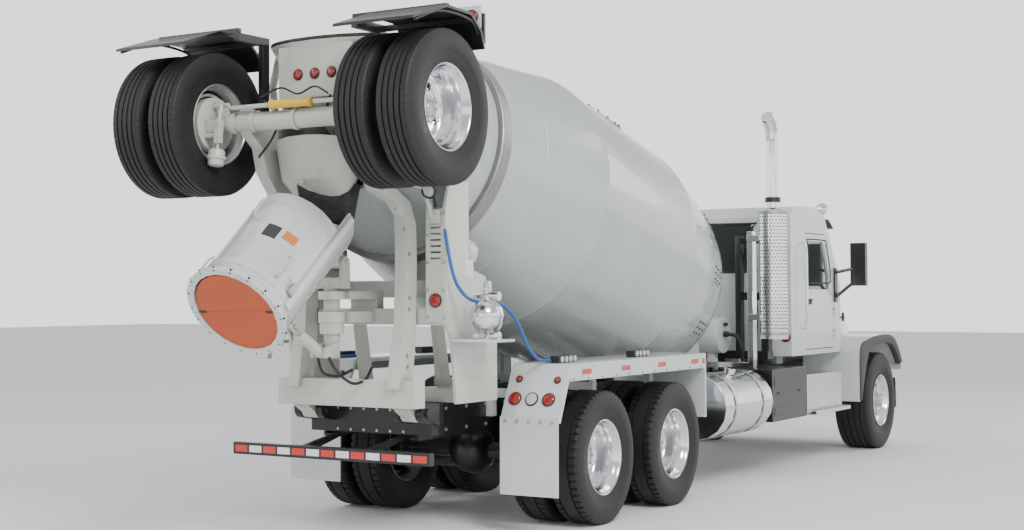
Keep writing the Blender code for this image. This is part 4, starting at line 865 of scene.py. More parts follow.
@dataclass(frozen=True)
class Tyre:
    """One tyre: sizes in metres, its middle at station 0."""

    radius: float
    half_width: float
    tread: Tread
    bead: float = 0.291
    pitches: int = 60
    groove: float = 0.013

    def profile(self) -> tuple[np.ndarray, np.ndarray]:
        """The section from inner bead to outer bead, and how deep a cross groove cuts each point.

        Returns:
            The (station, radius) points, and the depth share of each.
        """
        w, top = self.half_width, self.radius
        wall = [(0.72, self.bead - 0.004), (0.80, self.bead + 0.006), (0.87, self.bead + 0.022),
                (0.955, 0.66 * self.bead + 0.34 * top),
                (0.975, 0.62 * self.bead + 0.38 * top), (0.985, 0.61 * self.bead + 0.39 * top),
                (1.0, 0.42 * self.bead + 0.58 * top),
                (0.985, 0.28 * self.bead + 0.72 * top), (0.955, 0.17 * self.bead + 0.83 * top),
                (0.915, top - 0.026),
                (0.905, top - 0.021), (0.875, top - 0.010), (0.835, top - 0.003)]
        flank = [(-w * x, r, 0.0) for x, r in wall[:-3]] + [(-w * x, r, 0.7) for x, r in wall[-3:]]
        ribs = (-0.50, -0.17, 0.17, 0.50) if self.tread is Tread.RIB else (-0.42, 0.42)
        middle: list[tuple[float, float, float]] = []
        for centre in ribs:
            c = centre * w
            floor = top - self.groove
            middle += [(c - 0.0068, top, 0.0), (c - 0.0052, floor, 0.0), (c + 0.0052, floor, 0.0),
                       (c + 0.0068, top, 0.0)]
        shoulder = 0.8 if self.tread is Tread.LUG else 0.0
        left = [(-0.80 * w, top - 0.001, 1.0 if self.tread is Tread.LUG else 0.35),
                (-0.66 * w, top, shoulder), (-0.52 * w, top, shoulder)]
        rows = flank + (left if self.tread is Tread.LUG else left[:1]) + middle
        right = [(-x, r, d) for x, r, d in reversed(left if self.tread is Tread.LUG else left[:1])]
        rows += right + [(-x, r, d) for x, r, d in reversed(flank)]
        table = np.array(rows)
        return table[:, :2], table[:, 2]

    def surface(self) -> Surface:
        """The tyre: the section turned round the axle, with grooves cut at every pitch.

        Returns:
            P(a, t) = (s(t), (r(t) - d(t) g(a, s)) cos a, ... sin a), where g is 1 inside a cross groove.
        """
        line, cut = self.profile()
        share = 0.30 if self.tread is Tread.LUG else 0.12
        depth = self.groove * (1.0 if self.tread is Tread.LUG else 0.35)
        steps = np.array((0.0, 0.04, share, share + 0.04))
        turns = ((np.arange(self.pitches)[:, None] + steps) / self.pitches).ravel()
        in_groove = np.tile(np.array((0.0, 1.0, 1.0, 0.0)), self.pitches)

        def place(row: np.ndarray, column: np.ndarray) -> np.ndarray:
            """The tread's point, sunk where a cross groove passes.

            Args:
                row: index into the section.
                column: index into the turns.
            Returns:
                The points.
            """
            i, j = row.astype(int), column.astype(int)
            station = line[i, 0]
            stagger = np.where(station > 0, 0.5 / self.pitches, 0.0) * (cut[i] > 0)
            angle = (turns[j] + stagger) * TAU
            radius = line[i, 1] - cut[i] * depth * in_groove[j]
            return np.stack((station, radius * np.cos(angle), -radius * np.sin(angle)), axis=-1)

        return grid(place, np.arange(len(line)), np.arange(len(turns)), False, True)


@dataclass(frozen=True)
class Hub:
    """What is bolted in the middle of a wheel."""

    face: float
    length: float
    radius: float
    studs: int = 8


@dataclass
class WheelYard(Assembly):
    """Builds the truck's wheels and puts one on each wheel body."""

    dual: float = 0.172
    rim_radius: float = 0.2985
    bolt_circle: float = 0.1429
    hand_holes: int = 10
    parts: dict[str, Surface] = field(default_factory=dict)

    def dish(self, lip: float, disc: float) -> Surface:
        """A deep-dish rim and disc, turned about the axle and pierced by its hand holes.

        Args:
            lip: station of the outer lip.
            disc: station of the disc's outer face.
        Returns:
            The closed rim.
        """
        r = self.rim_radius
        bowl = [(disc, 0.098), (disc + 0.002, 0.112), (disc + 0.001, 0.165), (disc + 0.006, 0.205),
                (disc + 0.014, 0.228),
                (disc + 0.030, 0.246), (disc + 0.050, 0.2545), (min(disc + 0.09, lip - 0.085), 0.257),
                (lip - 0.062, 0.260),
                (lip - 0.046, 0.270), (lip - 0.030, 0.2775), (lip - 0.012, 0.2835), (lip - 0.004, 0.2885),
                (lip, 0.2945),
                (lip - 0.002, r), (lip - 0.008, r), (lip - 0.010, 0.2935)]
        back = [(lip - 0.016, 0.288), (lip - 0.05, 0.283), (lip - 0.066, 0.268), (disc + 0.04, 0.264),
                (disc + 0.01, 0.252),
                (disc - 0.006, 0.230), (disc - 0.014, 0.19), (disc - 0.018, 0.15), (disc - 0.018, 0.098)]
        ring = turned(bowl + back, 96, closed=True)
        return self.pierced(ring, disc)

    def pierced(self, ring: Surface, disc: float) -> Surface:
        """Cuts the hand holes through a rim.

        Args:
            ring: the rim's surface.
            disc: station of the disc's outer face.
        Returns:
            The pierced rim.
        """
        work = self.yard_mesh(ring, "rim_blank")
        ease = [(-0.06, 0.0), (-0.06, 0.031), (0.002, 0.0275), (0.012, 0.031), (0.05, 0.048), (0.05, 0.0)]
        tools = [turned(ease, 24).shifted(disc, 0.2 * math.cos(a), 0.2 * math.sin(a))
                 for a in (TAU * (i + 0.5) / self.hand_holes for i in range(self.hand_holes))]
        cutter = self.yard_mesh(joined(tools), "hand_holes")
        cut = work.modifiers.new("holes", "BOOLEAN")
        cut.operation = "DIFFERENCE"
        cut.solver = "EXACT"
        cut.object = cutter
        bpy.context.view_layer.update()
        final = work.evaluated_get(bpy.context.evaluated_depsgraph_get()).to_mesh()
        points = np.empty(len(final.vertices) * 3)
        final.vertices.foreach_get("co", points)
        shape = Surface(points.reshape(-1, 3), [tuple(p.vertices) for p in final.polygons])
        for item in (work, cutter):
            bpy.data.objects.remove(item)
        return shape

    @staticmethod
    def yard_mesh(shape: Surface, name: str) -> bpy.types.Object:
        """Makes a welded working object from a surface.

        Args:
            shape: the surface.
            name: the object's name.
        Returns:
            The object, which the caller removes.
        """
        mesh = bpy.data.meshes.new(name)
        mesh.from_pydata(shape.points, [], shape.faces)
        work = bmesh.new()
        work.from_mesh(mesh)
        bmesh.ops.remove_doubles(work, verts=work.verts, dist=1e-5)
        bmesh.ops.recalc_face_normals(work, faces=work.faces)
        work.to_mesh(mesh)
        work.free()
        item = bpy.data.objects.new(name, mesh)
        bpy.context.scene.collection.objects.link(item)
        return item

    def nuts(self, disc: float) -> Surface:
        """The flanged nuts and stud ends round the bolt circle.

        Args:
            disc: station of the face that they stand on.
        Returns:
            The nuts and studs.
        """
        nut = joined((turned([(0.0, 0.021), (0.005, 0.021), (0.008, 0.017)], 16),
                      turned([(0.006, 0.0175), (0.026, 0.0175), (0.030, 0.015), (0.030, 0.0)], 6),
                      turned([(0.028, 0.0105), (0.046, 0.0105), (0.048, 0.009), (0.048, 0.0)], 10)))
        angles = [TAU * i / 10 for i in range(10)]
        return joined(nut.shifted(disc, self.bolt_circle * math.cos(a),
                                  self.bolt_circle * math.sin(a)) for a in angles)

    def hub(self, hub: Hub) -> tuple[Surface, Surface]:
        """The hub's barrel and its cap studs.

        Args:
            hub: the hub's sizes.
        Returns:
            The barrel, and the studs.
        """
        f, end, r = hub.face, hub.face + hub.length, hub.radius
        barrel = turned([(f - 0.02, 0.0), (f - 0.02, 0.105), (f + 0.006, 0.106), (f + 0.012, r + 0.008),
                         (end - 0.020, r),
                         (end - 0.018, r + 0.010), (end - 0.006, r + 0.010), (end - 0.003, r + 0.007),
                         (end - 0.002, r * 0.62),
                         (end + 0.004, r * 0.58), (end + 0.008, r * 0.50), (end + 0.008, 0.0)], 48)
        stud = joined((turned([(0.0, 0.0115), (0.008, 0.0115), (0.010, 0.0095), (0.010, 0.0)], 6),
                       turned([(0.008, 0.006), (0.020, 0.006), (0.020, 0.0)], 8)))
        ring = r * 0.84
        angles = [TAU * i / hub.studs for i in range(hub.studs)]
        return barrel, joined(stud.shifted(end - 0.004, ring * math.cos(a),
                                           ring * math.sin(a)) for a in angles)

    def wheel_matrix(self, node: str, side: float) -> Matrix:
        """Places a wheel built about the origin, stations outwards, at a wheel node.

        Args:
            node: the wheel's frame node.
            side: 1 on the left, -1 on the right.
        Returns:
            The matrix.
        """
        low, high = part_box(node)
        middle = [(a + b) / 2 for a, b in zip(low, high)]
        turn = Matrix.Identity(4) if side > 0 else Matrix.Rotation(math.pi, 4, "Z")
        return Matrix.Translation(middle) @ turn

    def dual_set(self, node: str, side: float, tread: Tread, hub: Hub) -> None:
        """Builds twin tyres on their rims for one wheel body.

        Args:
            node: the frame node that they stand for.
            side: 1 on the left, -1 on the right.
            tread: the tyres' tread.
            hub: the hub's sizes.
        """
        at = self.wheel_matrix(node, side)
        key = tread.value
        if key not in self.parts:
            tyre = Tyre(0.5293, 0.137, tread, pitches=54 if tread is Tread.LUG else 72).surface()
            self.parts[key] = joined((tyre.shifted(self.dual),
                                      tyre.placed(Matrix.Rotation(math.pi, 4, "Z")).shifted(-self.dual)))
        if "dish" not in self.parts:
            self.parts["dish"] = self.dish(0.290, 0.046)
            self.parts["back"] = self.dish(0.290, 0.030).placed(Matrix.Rotation(math.pi, 4, "Z"))
            self.parts["nuts"] = self.nuts(0.046)
        body = self.yard.holder[node]
        tyres = self.put(node + "_tyres", self.parts[key].placed(at), TYRE, "tyre_rubber", body, sharp=30)
        self.yard.stand_in(tyres, node)
        self.put(node + "_outer_rim", self.parts["dish"].placed(at), POLISHED, "polished_aluminium", body)
        self.put(node + "_inner_rim", self.parts["back"].placed(at), PLATE_ALLOY, "polished_aluminium",
                 body)
        self.put(node + "_nuts", self.parts["nuts"].placed(at), CHROME, "machined_steel", body)
        barrel, studs = self.hub(hub)
        self.put(node + "_hub", barrel.placed(at), CAST, "machined_steel", body)
        self.put(node + "_hub_studs", studs.placed(at), ZINC, "machined_steel", body)
        drum = turned([(-0.035, 0.0), (-0.035, 0.214), (-0.050, 0.228), (-0.170, 0.228), (-0.172, 0.236),
                       (-0.186, 0.236),
                       (-0.186, 0.216), (-0.060, 0.212), (-0.060, 0.0)], 64)
        paint = CREAM if node.startswith("booster") else CHASSIS_BLACK
        self.put(node + "_brake_drum", drum.placed(at), paint, "black_paint", body)

    def single(self, node: str, side: float) -> None:
        """Builds a wide steering tyre on its rim.

        Args:
            node: the frame node that it stands for.
            side: 1 on the left, -1 on the right.
        """
        at = self.wheel_matrix(node, side)
        if "steer" not in self.parts:
            self.parts["steer"] = Tyre(0.5597, 0.207, Tread.RIB, pitches=72, groove=0.014).surface()
            self.parts["steer_dish"] = self.dish(0.188, 0.088)
            self.parts["steer_nuts"] = self.nuts(0.088)
        body = self.yard.holder[node]
        tyre = self.put(node + "_tyre", self.parts["steer"].placed(at), TYRE, "tyre_rubber", body, sharp=30)
        self.yard.stand_in(tyre, node)
        self.put(node + "_rim", self.parts["steer_dish"].placed(at), POLISHED, "polished_aluminium", body)
        inner = turned([(0.075, 0.264), (-0.10, 0.262), (-0.15, 0.275), (-0.186, 0.288), (-0.190, 0.2985),
                        (-0.184, 0.2985),
                        (-0.15, 0.285), (-0.10, 0.270), (0.075, 0.270)], 72, closed=True)
        self.put(node + "_rim_barrel", inner.placed(at), PLATE_ALLOY, "polished_aluminium", body)
        self.put(node + "_nuts", self.parts["steer_nuts"].placed(at), CHROME, "machined_steel", body)
        barrel, studs = self.hub(Hub(0.088, 0.085, 0.078, 6))
        self.put(node + "_hub", barrel.placed(at), CAST, "machined_steel", body)
        self.put(node + "_hub_studs", studs.placed(at), ZINC, "machined_steel", body)

    def build(self) -> None:
        """Builds all ten wheels."""
        for name, side in SIDES:
            self.single("front_wheel_" + name, side)
            for row in ("mid", "rear"):
                self.dual_set(f"{row}_wheels_{name}", side, Tread.LUG, Hub(0.046, 0.085, 0.098))
            self.dual_set("booster_wheels_" + name, side, Tread.RIB, Hub(0.046, 0.10, 0.074, 6))


# ---- drum
@dataclass
class MixerDrum(Assembly):
    """The drum's shell with its weld seams, roller track, hatch, head ring and bolted pads."""

    tilt: float = math.radians(14.1)
    middle: tuple[float, float, float] = (0.0, 0.36, 2.197)
    outline: tuple[tuple[float, float], ...] = ((3.90, 0.620), (3.14, 0.853), (2.57, 0.972), (1.80, 1.141),
                                                (0.0, 1.156),
                                                (-0.55, 1.078), (-1.12, 0.960), (-1.20, 0.80))
    seams: tuple[float, ...] = (2.57, 1.80, 0.0)
    track: float = 3.07

    def frame(self) -> Matrix:
        """The drum's frame: local +X runs up its axis, local +Z up."""
        return frame_along(self.middle, (0.0, math.cos(self.tilt), math.sin(self.tilt)))

    def radius_at(self, station: np.ndarray) -> np.ndarray:
        """The shell's radius: straight between the outline's points, with a raised bead at each seam.

        Args:
            station: places along the drum's axis.
        Returns:
            The radius at each.
        """
        table = np.array(sorted(self.outline))
        radius = np.interp(station, table[:, 0], table[:, 1])
        for seam in self.seams:
            radius = radius + 0.0035 * np.exp(-((station - seam) / 0.008) ** 2)
        return radius

    def shell(self) -> Surface:
        """The closed shell: outside from head to mouth, then back along the inside.

        Returns:
            The closed shell, in the drum's frame.
        """
        close = [np.array((s - 0.018, s - 0.008, s - 0.003, s, s + 0.003, s + 0.008,
                           s + 0.018)) for s in self.seams]
        stations = np.unique(np.concatenate([np.linspace(-1.12, 3.90, 60)] + close))
        outer = [(-1.235, 0.0), (-1.232, 0.30), (-1.222, 0.62), (-1.205, 0.80), (-1.195, 0.86),
                 (-1.165, 0.92)]
        outer += list(zip(stations, self.radius_at(stations)))
        lip = [(3.905, 0.628), (3.92, 0.632), (3.935, 0.625), (3.935, 0.600), (3.90, 0.590)]
        inner = [(s, float(self.radius_at(np.array(s))) - 0.03)
                 for s in (3.0, 2.5, 1.8, 0.9, 0.0, -0.55, -1.05)]
        return turned(outer + lip + inner + [(-1.16, 0.75), (-1.17, 0.0)], 160)

    def pads(self) -> Surface:
        """Bolted pads round the head ring: curved plates that follow the shell."""
        turns = [TAU * i / 12 for i in range(12)]
        return joined(self.patch(-0.98, -0.70, turn - 0.085, turn + 0.085, 0.010) for turn in turns)

    def patch(self, low: float, high: float, first: float, last: float, lift: float) -> Surface:
        """A thin plate on the shell between two stations and two angles, raised by lift.

        Args:
            low: station of one edge.
            high: station of the other edge.
            first: angle of one edge.
            last: angle of the other edge.
            lift: how far it stands off.
        Returns:
            The plate.
        """
        def place(station: np.ndarray, angle: np.ndarray) -> np.ndarray:
            """A point of the plate, let into the shell at its edges.

            Args:
                station: places along the axis.
                angle: turns about it.
            Returns:
                The points.
            """
            inside = (station > low) & (station < high) & (angle > first) & (angle < last)
            radius = self.radius_at(station) + np.where(inside, lift, -0.002)
            return np.stack((station, radius * np.sin(angle), -radius * np.cos(angle)), axis=-1)

        e, w = 0.001, 0.0012
        s = np.concatenate(([low], np.linspace(low + e, high - e, 5), [high]))
        a = np.concatenate(([first], np.linspace(first + w, last - w, 9), [last]))
        return grid(place, s, a)

    def on_shell(self, station: float, angle: float, lift: float = 0.0) -> tuple[Vector, Vector]:
        """A point over the shell and the way it faces, angle 0 straight down, in the drum's frame.

        Args:
            station: the place along the axis.
            angle: the turn about it.
            lift: how far the point stands off.
        Returns:
            The point, and the way out.
        """
        radius = float(self.radius_at(np.array(station))) + lift
        out = Vector((0.0, math.sin(angle), -math.cos(angle)))
        return Vector((station, 0.0, 0.0)) + out * radius, out

    def pad_bolts(self) -> Surface:
        """Rows of bolts on every pad and round the hatch.

        Returns:
            The bolt heads, in the drum's frame.
        """
        heads = []
        for i in range(12):
            for station in (-0.94, -0.84, -0.74):
                for offset in (-0.055, 0.0, 0.055):
                    place, out = self.on_shell(station, TAU * i / 12 + offset, 0.010)
                    heads.append(bolt_head(0.010).placed(frame_along(place, out, (1, 0, 0))))
        for place, out in self.hatch_rim():
            heads.append(bolt_head(0.012).placed(frame_along(place, out, (1, 0, 0))))
        return joined(heads)

    def hatch_rim(self) -> list[tuple[Vector, Vector]]:
        """Places round the hatch's edge: an ellipse laid on the shell.

        Returns:
            Each point and the way out there.
        """
        centre, turn = 0.95, math.radians(152)
        return [self.on_shell(centre + 0.235 * math.cos(t), turn + 0.155 * math.sin(t), 0.012)
                for t in around(12)]

    def hatch(self) -> Surface:
        """The hatch cover: an oval plate that follows the shell, with an eased rim.

        Returns:
            The cover.
        """
        def place(share: np.ndarray, angle: np.ndarray) -> np.ndarray:
            """A point of the oval, let into the shell at its edge.

            Args:
                share: 0 at the middle, 1 at the edge.
                angle: the turn round the oval.
            Returns:
                The points.
            """
            station = 0.95 + 0.27 * share * np.cos(angle)
            turn = math.radians(152) + 0.185 * share * np.sin(angle)
            lift = np.where(share > 0.99, -0.002, 0.012)
            radius = self.radius_at(station) + lift
            return np.stack((station, radius * np.sin(turn), -radius * np.cos(turn)), axis=-1)

        return grid(place, np.array((0.02, 0.5, 0.8, 0.97, 0.985, 1.0)), around(40), False, True)

    def build(self) -> None:
        """Builds the drum's pieces."""
        at = self.frame()
        shell = self.put("drum_shell", self.shell().placed(at), DRUM_GREY, "drum_paint", "drum", sharp=50)
        self.yard.stand_in(shell, "drum")
        half = 0.07
        track = turned([(self.track - half, 0.868), (self.track - half, 0.893),
                        (self.track - half + 0.006, 0.9),
                        (self.track + half - 0.006, 0.9), (self.track + half, 0.893),
                        (self.track + half, 0.85)], 160)
        self.put("drum_roller_track", track.placed(at), TRACK_STEEL, "machined_steel", "drum")
        self.put("drum_pads", self.pads().placed(at), DRUM_GREY, "drum_paint", "drum")
        self.put("drum_bolts", self.pad_bolts().placed(at), CHASSIS_BLACK, "machined_steel", "drum")
        self.put("drum_hatch", self.hatch().placed(at), DRUM_GREY, "drum_paint", "drum")
        ring = turned([(-1.42, 0.0), (-1.42, 0.16), (-1.39, 0.175), (-1.36, 0.175), (-1.35, 0.12),
                       (-1.25, 0.13), (-1.235, 0.24),
                       (-1.22, 0.26), (-1.20, 0.26)], 48)
        self.put("drum_drive_flange", ring.placed(at), ZINC, "machined_steel", "drum")


# ---- chute
@dataclass
class Chute(Assembly):
    """The folded chute's small parts: ring bolts, painted shade in the cover's notches, handles, latches,
    hoses and stickers.
    """

    origin: tuple[float, float, float] = (0.0, 4.55, 2.452)
    along: tuple[float, float, float] = (0.0, 0.7771, -0.6293)
    end: float = 1.185
    radius: float = 0.345
    ring: float = 0.38

    def frame(self) -> Matrix:
        """The chute's frame: local +X down the chute, local +Z out of its open side."""
        return frame_along(self.origin, self.along)

    def ring_bolts(self, first: float, last: float, count: int) -> Surface:
        """Bolts on the end ring's face and round its edge.

        Args:
            first: angle of the first pair.
            last: angle of the last pair.
            count: how many pairs.
        Returns:
            The bolt heads.
        """
        heads = []
        for a in np.linspace(first, last, count):
            out = Vector((0.0, math.cos(a), math.sin(a)))
            heads.append(bolt_head(0.008).placed(frame_along(Vector((self.end - 0.0068, 0,
                                                                     0)) + out * 0.362, (1, 0, 0))))
            heads.append(bolt_head(0.007).placed(frame_along(Vector((self.end - 0.015, 0,
                                                                     0)) + out * (self.ring - 0.001), out)))
        return joined(heads)

    def handle(self, station: float, angle: float) -> Surface:
        """A bent grab bar on the chute's skin.

        Args:
            station: where the bar starts.
            angle: its place round the skin.
        Returns:
            The bar.
        """
        out = Vector((0.0, math.cos(angle), math.sin(angle)))
        path = [Vector((station + s, 0, 0)) + out * (self.radius + h)
                for s, h in ((0.0, -0.004), (0.0, 0.035), (0.02, 0.055), (0.06, 0.06), (0.14, 0.06),
                             (0.18, 0.055), (0.20, 0.035), (0.20, -0.004))]
        return pipe(path, 0.008, 10, 4)

    def skin_plate(self, stations: tuple[float, float], angles: tuple[float, float],
                   lift: float) -> Surface:
        """A thin label or pad bent round the chute: P(s, a) = (s, r cos a, r sin a).

        Args:
            stations: where it starts and ends.
            angles: its two edges.
            lift: how far it stands off.
        Returns:
            The plate.
        """
        def place(s: np.ndarray, a: np.ndarray) -> np.ndarray:
            """A point of the plate, let into the skin at its edges.

            Args:
                s: places down the chute.
                a: turns about it.
            Returns:
                The points.
            """
            r = np.full(s.shape, self.radius + lift)
            r[0, :] = r[-1, :] = self.radius - 0.001
            r[:, 0] = r[:, -1] = self.radius - 0.001
            return np.stack((s, r * np.cos(a), r * np.sin(a)), axis=-1)

        s = np.concatenate((stations[:1], np.linspace(stations[0] + 1e-4, stations[1] - 1e-4, 3),
                            stations[1:]))
        a = np.concatenate((angles[:1], np.linspace(angles[0] + 2e-4, angles[1] - 2e-4, 9), angles[1:]))
        return grid(place, s, a)

    def build(self) -> None:
        """Builds the chute's trim on its two halves."""
        at = self.frame()
        half = math.pi
        self.put("chute_ring_bolts_upper", self.ring_bolts(0.12, half - 0.12, 9).placed(at), CHASSIS_BLACK,
                 "machined_steel", "folding_chute")
        self.put("chute_ring_bolts_lower", self.ring_bolts(-0.16, -half + 0.16, 9).placed(at),
                 CHASSIS_BLACK, "machined_steel", "chute")
        grips = joined((self.handle(0.80, math.radians(28)), self.handle(0.80, math.radians(152)),
                        self.handle(0.40, math.radians(90))))
        self.put("folding_chute_handles", grips.placed(at), CREAM, "white_paint", "folding_chute")
        bands = joined(self.skin_plate((s, s + 0.05), (0.07, half - 0.07), 0.006) for s in (0.34, 1.02))
        self.put("folding_chute_bands", bands.placed(at), CAB_WHITE, "white_paint", "folding_chute")
        low = joined(self.skin_plate((s, s + 0.05), (-half + 0.16, -0.16), 0.006) for s in (0.10, 1.02))
        self.put("main_chute_bands", low.placed(at), CAB_WHITE, "white_paint", "chute")
        self.put("chute_label_dark", self.skin_plate((0.62, 0.74), (0.95, 1.25), 0.0012).placed(at),
                 LABEL_DARK, "black_paint", "folding_chute")
        self.put("chute_label_amber", self.skin_plate((0.62, 0.70), (0.55, 0.85), 0.0012).placed(at),
                 LABEL_AMBER, "orange_paint", "folding_chute")
        latch = joined(joined((block((0.93, y - 0.012, 0.0), (1.01, y + 0.012, 0.05)),
                               rod((0.95, y, 0.05), (0.95, y + 0.001, 0.10), 0.007)))
                       for y in (-0.368, 0.368))
        self.put("folding_chute_latches", latch.placed(at), ZINC, "machined_steel", "folding_chute",
                 bevel=0.002)
        # Thin black blocks in the end cover's two side notches: painted shade where the notches are.
        slots = joined(block((1.174, y - 0.03, -0.012), (1.1785, y + 0.03, 0.010)) for y in (-0.285, 0.285))
        self.put("chute_cover_notches", slots.placed(at), CHASSIS_BLACK, "black_paint", "chute",
                 bevel=0.002)
        self.hoses()

    def hoses(self) -> None:
        """Black hoses to the lift cylinder and looped beside the chute's foot."""
        runs = (((0.06, 4.02, 1.26), (0.09, 4.16, 1.22), (0.10, 4.33, 1.25), (0.07, 4.44, 1.36),
                 (0.045, 4.515, 1.47)),
                ((-0.12, 4.02, 1.28), (-0.15, 4.15, 1.20), (-0.15, 4.32, 1.18), (-0.09, 4.44, 1.28),
                 (-0.045, 4.52, 1.44)))
        for name, run in zip(("lift_hose_a", "lift_hose_b"), runs):
            self.put(name, pipe(run, 0.011, 10, 8), BLACK_HOSE, "tyre_rubber")


# ---- lamps
@dataclass
class LampShop(Assembly):
    """Round lamps with a rubber ring and a coloured lens, and work lamps."""

    def round_lamp(self, name: str, places: Sequence[Point], facing: Point, radius: float,
                   colour: tuple[float, float, float],
                   body: str = "truck") -> None:
        """Adds round lamps that all face one way.

        Args:
            name: the piece's name.
            places: each lamp's middle, on the face that carries it.
            facing: where the lamps look.
            radius: the lens's radius.
            colour: the lens's colour.
            body: the frame's body that carries them.
        """
        ring = turned([(0.0, radius + 0.007), (0.008, radius + 0.007), (0.012, radius + 0.003),
                       (0.012, radius - 0.001),
                       (0.004, radius - 0.001)], 32)
        lens = turned([(0.004, radius), (0.010, radius), (0.014, radius * 0.93), (0.018, radius * 0.72),
                       (0.020, radius * 0.4),
                       (0.0205, 0.0)], 32)
        at = [frame_along(place, facing) for place in places]
        self.put(name + "_seals", copies(ring, at), SEAL_RUBBER, "tyre_rubber", body)
        self.put(name + "_lenses", copies(lens, at),
                 self.paint.glass("lens_" + name, colour, 0.12, transmission=0.35), "tinted_glass", body)

    def work_lamp(self, name: str, place: Point, facing: Point, radius: float, finish: Finish,
                  body: str = "truck") -> None:
        """Adds a round work lamp: a housing with its bezel, and a clear lens.

        Args:
            name: the piece's name.
            place: the lens's middle.
            facing: where the lamp looks.
            radius: the lens's radius.
            finish: the housing's finish.
            body: the frame's body that carries it.
        """
        shell = turned([(-0.075, 0.0), (-0.075, radius * 0.35), (-0.06, radius * 0.62),
                        (-0.03, radius * 0.92), (0.0, radius),
                        (0.012, radius + 0.006), (0.02, radius + 0.004), (0.02, radius - 0.006),
                        (0.006, radius - 0.008)], 32)
        lens = turned([(0.008, radius - 0.004), (0.016, radius * 0.7), (0.019, radius * 0.35),
                       (0.020, 0.0)], 32)
        at = frame_along(place, facing)
        self.put(name + "_housing", shell.placed(at), finish, "black_paint", body)
        self.put(name + "_lens", lens.placed(at),
                 self.paint.glass("clear_lens", (0.75, 0.78, 0.80), 0.10, transmission=0.3),
                 "tinted_glass", body)


RED_LENS = (0.45, 0.008, 0.006)
AMBER_LENS = (0.75, 0.22, 0.01)
CLEAR_LENS = (0.72, 0.74, 0.76)


